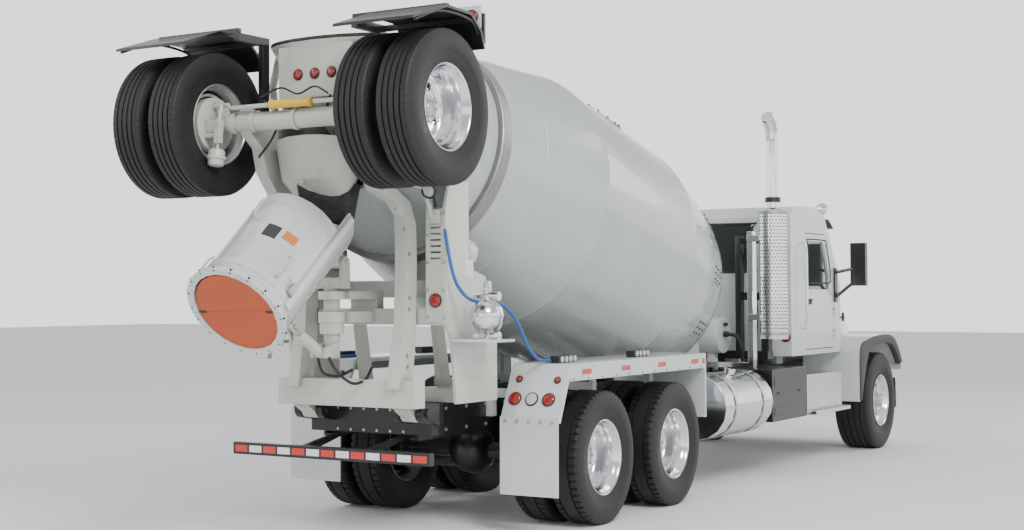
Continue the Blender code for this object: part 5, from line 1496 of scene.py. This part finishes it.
# ---- booster axle
@dataclass
class BoosterTrim(Assembly):
    """What is fixed to the stowed booster axle: brakes, steering cylinder, bolts, lamps and hoses."""

    axle: tuple[float, float] = (4.79, 3.08)

    def brake_set(self, name: str, side: float) -> None:
        """One end's backing plate, cam shaft and plate bolts, on its knuckle.

        Args:
            name: the side's name.
            side: 1 on the left, -1 on the right.
        """
        y, z = self.axle
        shapes = [turned([(0.752, 0.075), (0.752, 0.188), (0.758, 0.196), (0.770, 0.196), (0.770, 0.075)],
                         48).shifted(0, y, z)]
        shapes += [rod((0.60, y + 0.02, z + 0.135), (0.752, y + 0.02, z + 0.135), 0.018)]
        self.put(f"booster_brake_plate_{name}", joined(shapes).on_side(side), CREAM, "cream_paint",
                 f"booster_knuckle_{name}")
        ring = [frame_along((0.752, y + 0.16 * math.cos(a), z + 0.16 * math.sin(a)),
                            (-1, 0, 0)) for a in around(8)]
        self.put(f"booster_brake_bolts_{name}", copies(bolt_head(0.009), ring).on_side(side), ZINC,
                 "machined_steel", f"booster_knuckle_{name}")

    def chamber(self, place: Point, facing: Point) -> Surface:
        """A brake chamber: two pressed cups held by a clamp band, with its push rod.

        Args:
            place: the clamp band's middle.
            facing: where the push rod points.
        Returns:
            The chamber.
        """
        cup = turned([(-0.06, 0.0), (-0.06, 0.045), (-0.052, 0.058), (-0.012, 0.064), (-0.010, 0.074),
                      (0.010, 0.074), (0.012, 0.064),
                      (0.052, 0.060), (0.062, 0.050), (0.062, 0.012), (0.15, 0.010), (0.15, 0.0)], 36)
        return cup.placed(frame_along(place, facing))

    def build(self) -> None:
        """Builds the booster's trim."""
        y, z = self.axle
        for name, side in SIDES:
            self.brake_set(name, side)
            cam = joined((self.chamber((0.63, y + 0.13, z - 0.26), (0, -0.15, 1)),
                          rod((0.60, y + 0.11, z - 0.09), (0.752, y + 0.11, z - 0.09), 0.02),
                          block((0.605, y + 0.085, z - 0.15), (0.65, y + 0.135, z - 0.03)),
                          rod((0.63, y + 0.11, z - 0.03), (0.63, y + 0.07, z + 0.13), 0.014)))
            self.put(f"booster_brake_chamber_{name}", cam.on_side(side), CREAM, "cream_paint",
                     f"booster_knuckle_{name}")
            spots = [(4.06, 1.30), (4.06, 1.38), (4.03, 1.72), (4.03, 1.80), (4.03, 2.12), (4.10, 2.30),
                     (4.22, 2.44), (4.38, 2.58),
                     (4.52, 2.74), (4.58, 2.92), (4.66, 3.06), (4.78, 3.12)]
            pairs = [(0.502, a + 0.06, b) for a, b in spots]
            self.put(f"booster_arm_bolts_{name}", bolts(pairs, (1, 0, 0), 0.012).on_side(side), ZINC,
                     "machined_steel", "booster")
            feet = joined(rod((x, 4.135, 1.02), (x + 0.03, 4.135, 1.02), 0.02) for x in (0.38, 0.515))
            self.put(f"booster_leg_pins_{name}", feet.on_side(side), STEEL, "machined_steel", "booster")
            bars = joined((pipe([(0.70, 4.36, 3.58), (0.70, 4.30, 3.62), (0.70, 4.30, 3.30),
                                 (0.64, 4.40, 3.12)], 0.014),
                           pipe([(1.26, 4.36, 3.60), (1.285, 4.52, 3.70), (1.285, 4.9, 3.71),
                                 (1.285, 5.22, 3.61)], 0.010)))
            self.put(f"booster_fender_bars_{name}", bars.on_side(side), CHASSIS_BLACK, "black_paint",
                     "booster")
        tie = joined((rod((-0.55, y + 0.06, z + 0.105), (-0.20, y + 0.06, z + 0.105), 0.017),
                      rod((0.20, y + 0.06, z + 0.105), (0.55, y + 0.06, z + 0.105), 0.017)))
        self.put("booster_tie_rod", tie, CREAM, "cream_paint", "booster")
        cylinder = turned([(0.0, 0.0), (0.0, 0.030), (0.012, 0.036), (0.02, 0.032), (0.33, 0.032),
                           (0.338, 0.037), (0.36, 0.037),
                           (0.366, 0.02), (0.366, 0.0)], 32).shifted(-0.18, y + 0.06, z + 0.105)
        self.put("booster_centering_cylinder", cylinder, YELLOW, "orange_paint", "booster")
        top = pipe([(-0.30, y + 0.03, z + 0.16), (-0.16, y + 0.0, z + 0.22), (0.0, y - 0.02, z + 0.18),
                    (0.14, y, z + 0.23), (0.30, y + 0.03, z + 0.17)], 0.007, 8)
        drops = [pipe([(s * 0.30, y, z + 0.15), (s * 0.22, y - 0.08, z + 0.06),
                       (s * 0.30, y - 0.12, z - 0.10),
                       (s * 0.42, y - 0.10, z - 0.25)], 0.008, 8) for s in (1, -1)]
        wires = joined([top] + drops)
        self.put("booster_air_lines", wires, BLACK_HOSE, "tyre_rubber", "booster")
        collars = joined(turned([(0.0, 0.070), (0.0, 0.080), (0.035, 0.080), (0.035, 0.070)],
                                32).shifted(x, y, z)
                         for x in (-0.56, -0.38, -0.03, 0.345, 0.525))
        self.put("booster_axle_collars", collars, CREAM, "cream_paint", "booster")
        lamps = LampShop(self.yard, self.paint)
        for name, side in SIDES:
            plate = joined((block((1.00, 4.345, 3.665), (1.28, 4.365, 3.828)),
                            block((1.00, 4.345, 3.60), (1.06, 4.365, 3.67))))
            self.put(f"booster_lamp_plate_{name}", plate.on_side(side), CAB_WHITE, "white_paint",
                     "booster", bevel=0.003)
            lamps.round_lamp(f"booster_tail_{name}",
                             [(side * 1.205, 4.366, 3.748), (side * 1.075, 4.366, 3.748)], (0, 1, 0),
                             0.046, RED_LENS,
                             "booster")


# ---- rear tower
@dataclass
class RearTower(Assembly):
    """The tower over the frame's tail: hopper rim, flap, lamps, pump, hoses, bolts and a label."""

    pump: tuple[float, float] = (-1.0, 3.82)

    def rim(self) -> Surface:
        """The rubber edge round the hopper's mouth: a bead carried round an ellipse.

        Returns:
            The bead.
        """
        def place(a: np.ndarray, b: np.ndarray) -> np.ndarray:
            """A point of the bead.

            Args:
                a: the turn round the mouth.
                b: the turn round the bead.
            Returns:
                The points.
            """
            x = (0.532 + 0.016 * np.cos(b)) * np.cos(a)
            y = 4.34 + (0.242 + 0.016 * np.cos(b)) * np.sin(a)
            return np.stack((x, y, 3.684 + 0.016 * np.sin(b)), axis=-1)

        return grid(place, around(72), around(10), True, True)

    def flap(self) -> Surface:
        """The rubber apron under the collector: P(u, v) blends four corners and bellies outwards.

        Returns:
            The open sheet.
        """
        corners = np.array(((0.10, 4.66, 2.66), (-0.30, 4.42, 2.62), (0.06, 4.64, 2.40),
                            (-0.27, 4.48, 2.30)))

        def place(u: np.ndarray, v: np.ndarray) -> np.ndarray:
            """A point of the apron.

            Args:
                u: share across.
                v: share down.
            Returns:
                The points.
            """
            u, v = u[..., None], v[..., None]
            top = corners[0] * (1 - u) + corners[1] * u
            low = corners[2] * (1 - u) + corners[3] * u
            belly = 0.05 * np.sin(np.pi * u) * np.array((-0.3, 1.0, 0.0))
            return top * (1 - v) + low * v + belly

        return grid(place, np.linspace(0, 1, 24), np.linspace(0, 1, 12))

    def diaphragm_pump(self) -> dict[str, Surface]:
        """The pump: two round chambers, ribs, bolts, a manifold and a T handle.

        Returns:
            Each surface by its piece's name.
        """
        x, y = self.pump
        chamber = turned([(0.0, 0.06), (0.0, 0.085), (0.008, 0.095), (0.024, 0.095), (0.028, 0.08),
                          (0.05, 0.074), (0.062, 0.055),
                          (0.066, 0.0)], 40)
        ends = joined((chamber.placed(frame_along((x, y + 0.035, 1.63), (0, 1, 0))),
                       chamber.placed(frame_along((x, y - 0.035, 1.63), (0, -1, 0)))))
        ring = [(x + 0.083 * math.cos(a), y + 0.059, 1.63 + 0.083 * math.sin(a)) for a in around(10)]
        manifold = joined((rod((x, y - 0.10, 1.76), (x, y + 0.10, 1.76), 0.022),
                           rod((x, y - 0.09, 1.53), (x, y + 0.09, 1.53), 0.022),
                           rod((x, y - 0.07, 1.53), (x, y - 0.07, 1.76), 0.018),
                           rod((x, y + 0.07, 1.53), (x, y + 0.07, 1.76), 0.018)))
        handle = joined((rod((x, y, 1.77), (x, y, 1.86), 0.009),
                         rod((x, y - 0.05, 1.86), (x, y + 0.05, 1.86), 0.009)))
        return {"pump_chambers": ends, "pump_bolts": bolts(ring, (0, 1, 0), 0.007),
                "pump_manifold": manifold, "pump_handle": handle}

    def build(self) -> None:
        """Builds the tower's trim."""
        self.put("hopper_rim_seal", self.rim(), SEAL_RUBBER, "tyre_rubber")
        self.put("collector_apron", self.flap(), SEAL_RUBBER, "tyre_rubber", weld=False, wall=0.008)
        held = [(0.02, 4.694, 2.635), (-0.10, 4.64, 2.625), (-0.22, 4.535, 2.605)]
        self.put("apron_bolts", bolts(held, (-0.5, 1, 0), 0.012), ZINC, "machined_steel")
        for name, shape in self.diaphragm_pump().items():
            finish, slot = (ZINC, "machined_steel") if "bolts" in name else (CAST, "polished_aluminium")
            self.put(name, shape, finish, slot)
        lamps = LampShop(self.yard, self.paint)
        lamps.round_lamp("hopper_tail", [(x, 4.566, 3.43) for x in (-0.15, 0.0, 0.15)], (0, 1, 0), 0.034,
                         RED_LENS)
        for name, side in SIDES:
            lamps.round_lamp(f"tower_tail_{name}", [(side * 0.665, 3.991, 1.78)], (0, 1, 0), 0.045,
                             RED_LENS)
        lamps.work_lamp("tower_work_lamp", (-0.665, 4.07, 2.58), (0, 1, -0.25), 0.055, CHASSIS_BLACK)
        lamps.work_lamp("tower_work_lamp_left", (0.665, 4.07, 2.58), (0, 1, -0.25), 0.055, CHASSIS_BLACK)
        posts = joined(rod((x, 3.985, 2.46), (x, 4.02, 2.56), 0.010) for x in (-0.665, 0.665))
        self.put("work_lamp_posts", posts, CHASSIS_BLACK, "black_paint")
        column = [(side * x, 3.991, z) for side in (1,
                                                    -1) for x in (0.595, 0.735)
                                                    for z in (1.66, 1.86, 2.06, 2.26, 2.42)]
        self.put("tower_column_bolts", bolts(column, (0, 1, 0), 0.010), ZINC, "machined_steel")
        blue = joined((pipe([(-0.74, 3.98, 2.30), (-0.80, 4.0, 2.05), (-0.84, 3.98, 1.90),
                             (-0.90, 3.93, 1.80), (-1.0, 3.91, 1.76)], 0.013),
                       pipe([(-1.0, 3.72, 1.76), (-1.0, 3.58, 1.74), (-1.02, 3.42, 1.62),
                             (-1.02, 3.24, 1.42), (-1.02, 3.05, 1.32), (-1.02, 2.72, 1.305),
                             (-0.98, 2.40, 1.305)], 0.013),
                       pipe([(0.76, 3.9, 1.95), (0.82, 3.7, 1.8), (0.88, 3.45, 1.55), (0.94, 3.2, 1.36),
                             (0.98, 2.95, 1.306), (0.96, 2.5, 1.305)], 0.013)))
        self.put("blue_water_hoses", blue, BLUE_HOSE, "tyre_rubber")
        label = block((-0.7515, 3.60, 1.96), (-0.7505, 3.72, 2.08))
        self.put("tower_label", label, LABEL_WHITE, "white_paint")


# ---- decks
@dataclass
class Decks(Assembly):
    """Trim on the decks over the tandem: tape, lamps, lamp bars, and bolts along the decks and on the mud
    flap hangers.
    """

    def slope(self, share: float, lift: float = 0.0) -> tuple[float, float]:
        """The (y, z) of a point down the sloped rear panel, share 0 at its top, lifted off its face."""
        return 3.00 + 0.21 * share + 0.899 * lift, 1.29 - 0.43 * share + 0.439 * lift

    def build(self) -> None:
        """Builds both decks' trim."""
        lamps = LampShop(self.yard, self.paint)
        for name, side in SIDES:
            tape = joined(block((1.2502, y, 1.205),
                                (1.2512, y + 0.16, 1.245)) for y in (0.55, 1.25, 1.95, 2.65))
            self.put(f"deck_tape_{name}", tape.on_side(side), RED_TAPE, "orange_paint")
            lip = [(1.2502, y, 1.175) for y in np.arange(0.5, 2.95, 0.245)]
            self.put(f"deck_bolts_{name}", bolts(lip, (1, 0, 0), 0.008).on_side(side), ZINC,
                     "machined_steel")
            marker = turned([(0.0, 0.0), (0.0, 0.026), (0.010, 0.024), (0.016, 0.014), (0.017, 0.0)],
                            24).placed(frame_along((1.2502, 0.44, 1.225), (1, 0, 0)))
            self.put(f"deck_marker_{name}", marker.on_side(side),
                     self.paint.glass("amber_lens", AMBER_LENS, 0.12, transmission=0.3), "tinted_glass")
            for label, x, colour in (("tail", 0.84, RED_LENS), ("stop", 1.13, RED_LENS),
                                     ("reverse", 0.985, CLEAR_LENS)):
                y, z = self.slope(0.62, 0.001)
                lamps.round_lamp(f"deck_{label}_{name}", [(side * x, y, z)], (0, 0.899, 0.439), 0.048,
                                 colour)
            y, z = self.slope(0.28, 0.001)
            lamps.round_lamp(f"deck_reflector_{name}", [(side * 0.84, y, z), (side * 1.17, y, z)],
                             (0, 0.899, 0.439), 0.022, RED_LENS)
            flap_bolts = [(side * x, 3.2165, 0.86) for x in (0.80, 0.90, 1.00, 1.10, 1.20)]
            self.put(f"flap_bolts_{name}", bolts(flap_bolts, (0, 1, 0), 0.010), ZINC, "machined_steel")
            bars = joined(block((1.02, y - 0.15, 1.2905), (1.10, y + 0.15, 1.345)) for y in (1.40, 2.75))
            self.put(f"deck_lamp_bars_{name}", bars.on_side(side), CHASSIS_BLACK, "black_paint",
                     bevel=0.006)
            spots = [(side * 1.10, y + d, 1.318) for y in (1.40,
                                                           2.75) for d in (-0.105, -0.035, 0.035, 0.105)]
            lens = turned([(0.0, 0.0), (0.0, 0.024), (0.006, 0.024), (0.009, 0.018), (0.010, 0.0)], 24)
            self.put(f"deck_bar_lenses_{name}",
                     copies(lens, [frame_along(p, (side, 0, 0)) for p in spots]),
                     self.paint.glass("bar_lens", CLEAR_LENS, 0.1, transmission=0.3), "tinted_glass")


# ---- chassis
@dataclass
class ChassisTrim(Assembly):
    """Bolts, tape, tank straps and caps, step treads, battery box ribs and hoses along the frame."""

    tank: tuple[float, float, float, float] = (0.92, 0.76, -1.35, -0.15)

    def tank_straps(self) -> Surface:
        """Bands round the fuel tank, each a ring a little proud of it.

        Returns:
            The straps of the left tank.
        """
        x, z, low, high = self.tank
        return joined(turned([(y, 0.311), (y, 0.315), (y + 0.045, 0.315), (y + 0.045, 0.311)], 64)
                      .placed(frame_along((x, 0, z), (0, 1, 0))) for y in (low + 0.22, high - 0.27))

    def build(self) -> None:
        """Builds the chassis trim."""
        for name, side in SIDES:
            rail = [(0.4405, y, z) for y in np.arange(-5.2, 3.8, 0.30) for z in (0.80, 0.96)]
            self.put(f"frame_bolts_{name}", bolts(rail, (1, 0, 0), 0.012).on_side(side), ZINC,
                     "machined_steel")
            x, z, low, _ = self.tank
            self.put(f"tank_straps_{name}", self.tank_straps().on_side(side), PLATE_ALLOY,
                     "polished_aluminium")
            cap = turned([(0.0, 0.045), (0.02, 0.045), (0.022, 0.052), (0.05, 0.052), (0.055, 0.046),
                          (0.055, 0.0)], 24)
            self.put(f"tank_cap_{name}", cap.placed(frame_along((x + 0.10, low + 0.62, z + 0.292),
                                                                (0.3, 0, 1))).on_side(side), CHROME,
                                                                "bright_chrome")
            bars = np.arange(-3.62, -2.58, 0.05)
            treads = joined(block((1.115, y, 0.5805), (1.235, y + 0.014, 0.586)) for y in bars)
            self.put(f"step_treads_{name}", treads.on_side(side), PLATE_ALLOY, "polished_aluminium")
        tapes = row_of((-0.80, 4.421, 0.67), (0.80, 4.421, 0.67), 13)
        for tint, start in ((RED_TAPE, 0), (WHITE_TAPE, 1)):
            strips = joined(block((x - 0.058, y - 0.0005, z - 0.025),
                                  (x + 0.058, y + 0.0008, z + 0.025)) for x, y, z in tapes[start::2])
            self.put("bar_tape_" + tint.name.split("_")[0], strips, tint, "orange_paint")
        cross = [(x, 3.8605, z) for x in np.arange(-0.30, 0.31, 0.12) for z in (0.80, 0.96)]
        self.put("tail_bolts", bolts(cross, (0, 1, 0), 0.012), ZINC, "machined_steel")
        cells = joined((block((-1.184, -2.40, 0.60), (-1.1805, -1.52, 0.68)),
                        block((-1.184, -2.40, 0.90), (-1.1805, -1.52, 0.98)),
                        rod((-1.186, -2.30, 0.82), (-1.186, -2.22, 0.82), 0.008),
                        rod((-1.186, -1.70, 0.82), (-1.186, -1.62, 0.82), 0.008)))
        self.put("battery_box_ribs", cells, CHASSIS_BLACK, "black_paint", bevel=0.002)
        fittings = joined((rod((-0.535, -1.82, 1.40), (-0.58, -1.82, 1.40), 0.035, 6),
                           rod((-0.535, -1.82, 1.50), (-0.57, -1.82, 1.50), 0.022, 6),
                           pipe([(-0.58, -1.82, 1.40), (-0.66, -1.83, 1.38), (-0.70, -1.86, 1.28),
                                 (-0.70, -1.9, 1.12)], 0.02)))
        self.put("water_tank_fittings", fittings, BLACK_HOSE, "tyre_rubber")
        runs = joined((pipe([(-0.88, -2.16, 1.25), (-0.88, -2.17, 1.7), (-0.87, -2.17, 2.2),
                             (-0.85, -2.14, 2.36)], 0.011),
                       pipe([(-0.60, -2.16, 1.30), (-0.60, -2.17, 1.75), (-0.62, -2.17, 2.15),
                             (-0.66, -2.14, 2.30)], 0.011),
                       pipe([(-0.74, -2.16, 1.25), (-0.75, -2.18, 1.6), (-0.72, -2.18, 1.95),
                             (-0.74, -2.15, 2.28)], 0.016)))
        self.put("rack_hoses", runs, BLACK_HOSE, "tyre_rubber")
        rack = [(x, -2.079, z) for x in (-0.88, -0.59) for z in np.arange(1.3, 2.4, 0.18)]
        self.put("rack_bolts", bolts(rack, (0, 1, 0), 0.009), ZINC, "machined_steel")


# ---- exhaust
@dataclass
class ExhaustTrim(Assembly):
    """The muffler shield's slots as painted shade, its clamps and the small lamps beside it."""

    centre: tuple[float, float] = (-1.12, -1.69)
    radius: float = 0.1415

    def slots(self) -> Surface:
        """Painted shade for the shield's perforations: rows of small dark ovals laid on its curve where the
        holes are.

        Returns:
            The ovals.
        """
        rows = np.arange(1.47, 2.60, 0.034)
        turns = around(26)
        return joined(self.oval(turn + (TAU / 52 if row % 2 else 0.0), z) for row,
                      z in enumerate(rows) for turn in turns)

    def oval(self, turn: float, height: float) -> Surface:
        """One perforation: P(u, v) with its half height following an oval.

        Args:
            turn: the angle of its middle.
            height: the height of its middle.
        Returns:
            The oval.
        """
        def place(u: np.ndarray, v: np.ndarray) -> np.ndarray:
            """A point of the oval.

            Args:
                u: share across.
                v: share up.
            Returns:
                The points.
            """
            angle = turn + 0.055 * u
            half = 0.0075 * np.sqrt(np.clip(1.0 - u ** 2, 0.02, 1.0))
            return np.stack((self.centre[0] + self.radius * np.cos(angle),
                             self.centre[1] + self.radius * np.sin(angle), height + half * v), axis=-1)

        return grid(place, np.linspace(-1, 1, 7), np.array((-1.0, 1.0)))

    def build(self) -> None:
        """Builds the exhaust's trim."""
        # Dark ovals laid on the shield: painted shade standing in for the perforations.
        self.put("shield_slots", self.slots(), CABIN_GREY, "black_paint", weld=False)
        band = joined(turned([(z, 0.1405), (z, 0.147), (z + 0.03, 0.147), (z + 0.03, 0.1405)],
                             48).placed(frame_along((*self.centre, 0), (0, 0, 1)))
                      for z in (1.40, 2.62))
        self.put("shield_bands", band, STEEL, "machined_steel")
        clamp = turned([(2.74, 0.066), (2.74, 0.078), (2.79, 0.078), (2.79, 0.066)],
                       32).placed(frame_along((*self.centre, 0), (0, 0, 1)))
        self.put("stack_clamp", clamp, CHASSIS_BLACK, "black_paint")
        lamps = LampShop(self.yard, self.paint)
        lamps.work_lamp("cab_work_lamp", (-0.90, -2.31, 2.60), (-0.3, 1, -0.1), 0.055, CHROME)
        lamps.round_lamp("cab_side_tail", [(-0.99, -2.388, 1.36)], (0, 1, 0), 0.045, RED_LENS)


# ---- cab
@dataclass
class CabTrim(Assembly):
    """Handles, grab bars, window seals, visor, lamps, flares and latches on the cab and hood."""

    def flare(self) -> Surface:
        """The dark flare on the left front arch: P(a, t) blends the arch's two edges and bows outwards.

        Returns:
            The flare.
        """
        inner = smooth_line([(1.25, -4.045, 0.62), (1.25, -4.11, 1.03), (1.25, -4.37, 1.235),
                             (1.25, -4.73, 1.275), (1.25, -5.18, 1.27),
                             (1.25, -5.40, 1.175), (1.25, -5.59, 0.99)], 6)
        outer = smooth_line([(1.25, -4.015, 0.61), (1.25, -4.03, 1.19), (1.25, -4.35, 1.295),
                             (1.25, -4.73, 1.33), (1.25, -5.18, 1.325),
                             (1.25, -5.43, 1.225), (1.25, -5.63, 1.015)], 6)
        section = np.array(((-0.9, 1.20), (-1.0, 1.24), (-0.9, 1.262), (-0.2, 1.272), (0.5, 1.270),
                            (0.92, 1.262), (0.95, 1.251), (0.0, 1.2505),
                            (-0.8, 1.235), (-0.8, 1.20)))

        def place(i: np.ndarray, t: np.ndarray) -> np.ndarray:
            """A point of the flare.

            Args:
                i: index along the arch.
                t: index into the section.
            Returns:
                The points.
            """
            rows, share, x = i.astype(int), section[t.astype(int), 0][..., None], section[t.astype(int), 1]
            point = inner[rows] * (1 - share) + outer[rows] * share
            point[..., 0] = x
            return point

        return grid(place, np.arange(len(inner)), np.arange(len(section)), False, True)

    def build(self) -> None:
        """Builds the cab's trim."""
        for name, side in SIDES:
            door = "door_" + name
            handle = joined((block((1.051, -3.00, 1.70), (1.066, -2.90, 1.76)),
                             block((1.066, -2.99, 1.735), (1.078, -2.91, 1.752))))
            self.put(f"door_handle_{name}", handle.on_side(side), CABIN_GREY, "dark_plastic", door,
                     bevel=0.003)
            seal = [(-2.90, 1.93), (-3.64, 1.93), (-3.64, 2.08), (-3.50, 2.40), (-2.90, 2.40)]
            window = pipe([(1.052, y, z) for y, z in self.rounded(seal)], 0.007, 8, 2)
            self.put(f"door_window_seal_{name}", window.on_side(side), SEAL_RUBBER, "tyre_rubber", door)
            bar = pipe([(1.06, -2.70, 1.45), (1.10, -2.70, 1.47), (1.11, -2.70, 1.60), (1.11, -2.70, 2.20),
                        (1.10, -2.70, 2.33), (1.06, -2.70, 2.35)], 0.014)
            self.put(f"grab_bar_{name}", bar.on_side(side), CHROME, "bright_chrome")
            self.put(f"fender_flare_{name}", self.flare().on_side(side), FLARE_GREY, "dark_plastic", "hood")
            latch = joined((block((1.052, -4.06, 1.50), (1.07, -4.02, 1.60)),
                            block((1.052, -4.10, 1.53), (1.064, -3.985, 1.56))))
            self.put(f"hood_latch_{name}", latch.on_side(side), SEAL_RUBBER, "tyre_rubber", "hood",
                     bevel=0.004)
        rear_seal = self.rounded([(-0.63, 2.05), (0.63, 2.05), (0.63, 2.56), (-0.63, 2.56)])
        self.put("rear_window_seal", pipe([(x, -2.388, z) for x, z in rear_seal], 0.012, 8, 2),
                 SEAL_RUBBER, "tyre_rubber")
        lamps = LampShop(self.yard, self.paint)
        lamps.work_lamp("roof_work_lamp", (-0.97, -3.62, 2.76), (-0.3, -1, 0.0), 0.06, CHROME)
        self.put("roof_lamp_post", rod((-0.97, -3.60, 2.55), (-0.97, -3.60, 2.72), 0.012), CHROME,
                 "bright_chrome")
        visor = grid(lambda u, v: np.stack((u, -4.02 - 0.20 * v + 0.05 * (u / 0.9) ** 2,
                                            2.655 - 0.10 * v ** 1.4), axis=-1),
                     np.linspace(-0.92, 0.92, 24), np.linspace(0, 1, 6))
        self.put("windshield_visor", visor, CHASSIS_BLACK, "black_paint", weld=False, wall=0.006)
        marks = [(x, -3.80, 2.752) for x in (-0.80, -0.35, 0.0, 0.35, 0.80)]
        lens = turned([(0.0, 0.0), (0.0, 0.035), (0.016, 0.030), (0.026, 0.018), (0.028, 0.0)], 24)
        self.put("roof_marker_lenses", copies(lens, [frame_along(p, (0, 0, 1)) for p in marks]),
                 self.paint.glass("amber_marker", AMBER_LENS, 0.12, transmission=0.3), "tinted_glass")

    @staticmethod
    def rounded(corners: Sequence[tuple[float, float]], cut: float = 0.04) -> list[tuple[float, float]]:
        """A closed outline with its corners cut twice, so that a pipe can follow it.

        Args:
            corners: the outline.
            cut: how far from each corner it is cut.
        Returns:
            The outline, with its first point again at the end.
        """
        out: list[tuple[float, float]] = []
        count = len(corners)
        for i, (x, z) in enumerate(corners):
            for other in (corners[i - 1], corners[(i + 1) % count]):
                away = Vector((other[0] - x, other[1] - z)).normalized() * cut
                out.append((x + away.x, z + away.y))
        return out + out[:1]


# ---- dressed nodes
@dataclass
class DressedNodes(Assembly):
    """Frame nodes whose shape is right: each gets eased edges and its real finish."""

    def build(self) -> None:
        """Dresses every node that no other piece stands for."""
        finishes = {"white_paint": CAB_WHITE, "cream_paint": CREAM, "drum_paint": DRUM_GREY,
                    "black_paint": CHASSIS_BLACK,
                    "grey_paint": POST_GREY, "orange_paint": ORANGE, "polished_aluminium": POLISHED,
                    "bright_chrome": CHROME, "machined_steel": STEEL, "tyre_rubber": TYRE,
                    "dark_plastic": CABIN_GREY}
        for part in self.yard.frame["record"]["subparts"]:
            node, slot = part["node"], part["material_slot"]
            if self.yard.nodes[node].hide_render:
                continue
            if slot == "tinted_glass":
                self.yard.nodes[node].data.materials.clear()
                self.yard.nodes[node].data.materials.append(self.paint.glass("tinted_window_glass",
                                                                             (0.012, 0.02, 0.018), 0.03))
                continue
            piece = self.yard.dress(node, self.paint(finishes[slot]))


ASSEMBLIES = (DressedNodes, Chute, BoosterTrim, RearTower, Decks, ChassisTrim, ExhaustTrim, CabTrim)


# ---- studio
@dataclass
class Studio:
    """The pale floor, the soft lights and the camera."""

    place: tuple[float, float, float] = (-6.8833, 13.8705, 1.8357)
    yaw: float = 0.5839
    pitch: float = 0.0331
    roll: float = -0.0032
    sensor_mm: float = 36.0
    focal_mm: float = 56.2640625
    shift: tuple[float, float] = (0.109375, -0.0244140625)

    def camera(self) -> None:
        """Sets the camera to the truck's right rear, with a small lens shift."""
        ahead = Vector((math.sin(self.yaw) * math.cos(self.pitch),
                        -math.cos(self.yaw) * math.cos(self.pitch), math.sin(self.pitch)))
        right = ahead.cross(Vector((0, 0, 1))).normalized()
        up = right.cross(ahead)
        c, s = math.cos(self.roll), math.sin(self.roll)
        right, up = right * c + up * s, up * c - right * s
        matrix = Matrix((right, up, -ahead)).transposed().to_4x4()
        matrix.translation = Vector(self.place)
        data = bpy.data.cameras.new("camera")
        data.sensor_fit = "HORIZONTAL"
        data.sensor_width = self.sensor_mm
        data.lens = self.focal_mm
        data.shift_x, data.shift_y = self.shift
        data.clip_end = 200.0
        camera = bpy.data.objects.new("camera", data)
        camera.matrix_world = matrix
        bpy.context.scene.collection.objects.link(camera)
        bpy.context.scene.camera = camera

    def lights(self) -> None:
        """Hangs three soft lights and sets a plain sky."""
        for name, place, aim, size, power in (("key", (-9, 9, 9.5), (0, 0, 1.6), 5.0, 1300.0),
                                              ("fill", (9, 10, 7), (0, 1, 1.6), 7.0, 250.0),
                                              ("front", (-7, -12, 8), (0, -2, 1.5), 7.0, 300.0)):
            data = bpy.data.lights.new(name, "AREA")
            data.shape = "DISK"
            data.size = size
            data.energy = power
            lamp = bpy.data.objects.new(name, data)
            aimed = (Vector(aim) - Vector(place)).to_track_quat("-Z", "Y")
            lamp.matrix_world = Matrix.Translation(place) @ aimed.to_matrix().to_4x4()
            bpy.context.scene.collection.objects.link(lamp)
        world = bpy.data.worlds.new("studio_sky")
        bpy.context.scene.world = world
        world.use_nodes = True
        nodes, links = world.node_tree.nodes, world.node_tree.links
        place = nodes.new("ShaderNodeTexCoord")
        split = nodes.new("ShaderNodeSeparateXYZ")
        ramp = nodes.new("ShaderNodeValToRGB")
        links.new(place.outputs["Generated"], split.inputs[0])
        links.new(split.outputs["Z"], ramp.inputs["Fac"])
        links.new(ramp.outputs["Color"], nodes["Background"].inputs["Color"])
        stops = ramp.color_ramp.elements
        for index, (position, grey) in enumerate(((0.0, 1.0), (1.0, 0.62), (0.19, 1.0), (0.30, 0.42),
                                                  (0.70, 0.38))):
            stop = stops[index] if index < 2 else stops.new(position)
            stop.position = position
            stop.color = (grey, grey * 1.005, grey * 1.015, 1)
        nodes["Background"].inputs["Strength"].default_value = 1.75

    def floor(self) -> None:
        """Lays a plain pale floor."""
        mesh = bpy.data.meshes.new("floor")
        reach = 60.0
        mesh.from_pydata([(-reach, -reach, 0), (reach, -reach, 0), (reach, reach, 0), (-reach, reach, 0)],
                         [], [(0, 1, 2, 3)])
        floor = bpy.data.objects.new("floor", mesh)
        bpy.context.scene.collection.objects.link(floor)
        material = bpy.data.materials.new("pale_floor")
        material.use_nodes = True
        shader = material.node_tree.nodes["Principled BSDF"]
        shader.inputs["Base Color"].default_value = (0.90, 0.90, 0.90, 1)
        shader.inputs["Roughness"].default_value = 0.7
        mesh.materials.append(material)
        floor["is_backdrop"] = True

    def build(self) -> None:
        """Builds the studio."""
        self.camera()
        self.lights()
        self.floor()


def main() -> None:
    """Builds the truck's looks, one sub-assembly after another."""
    logging.basicConfig(level=logging.INFO, format="%(message)s")
    yard = Yard()
    paint = PaintShop()
    Studio().build()
    WheelYard(yard, paint).build()
    MixerDrum(yard, paint).build()
    for assembly in ASSEMBLIES:
        assembly(yard, paint).build()
    log.info("%d pieces made", yard.count)


if __name__ == "__main__":
    main()
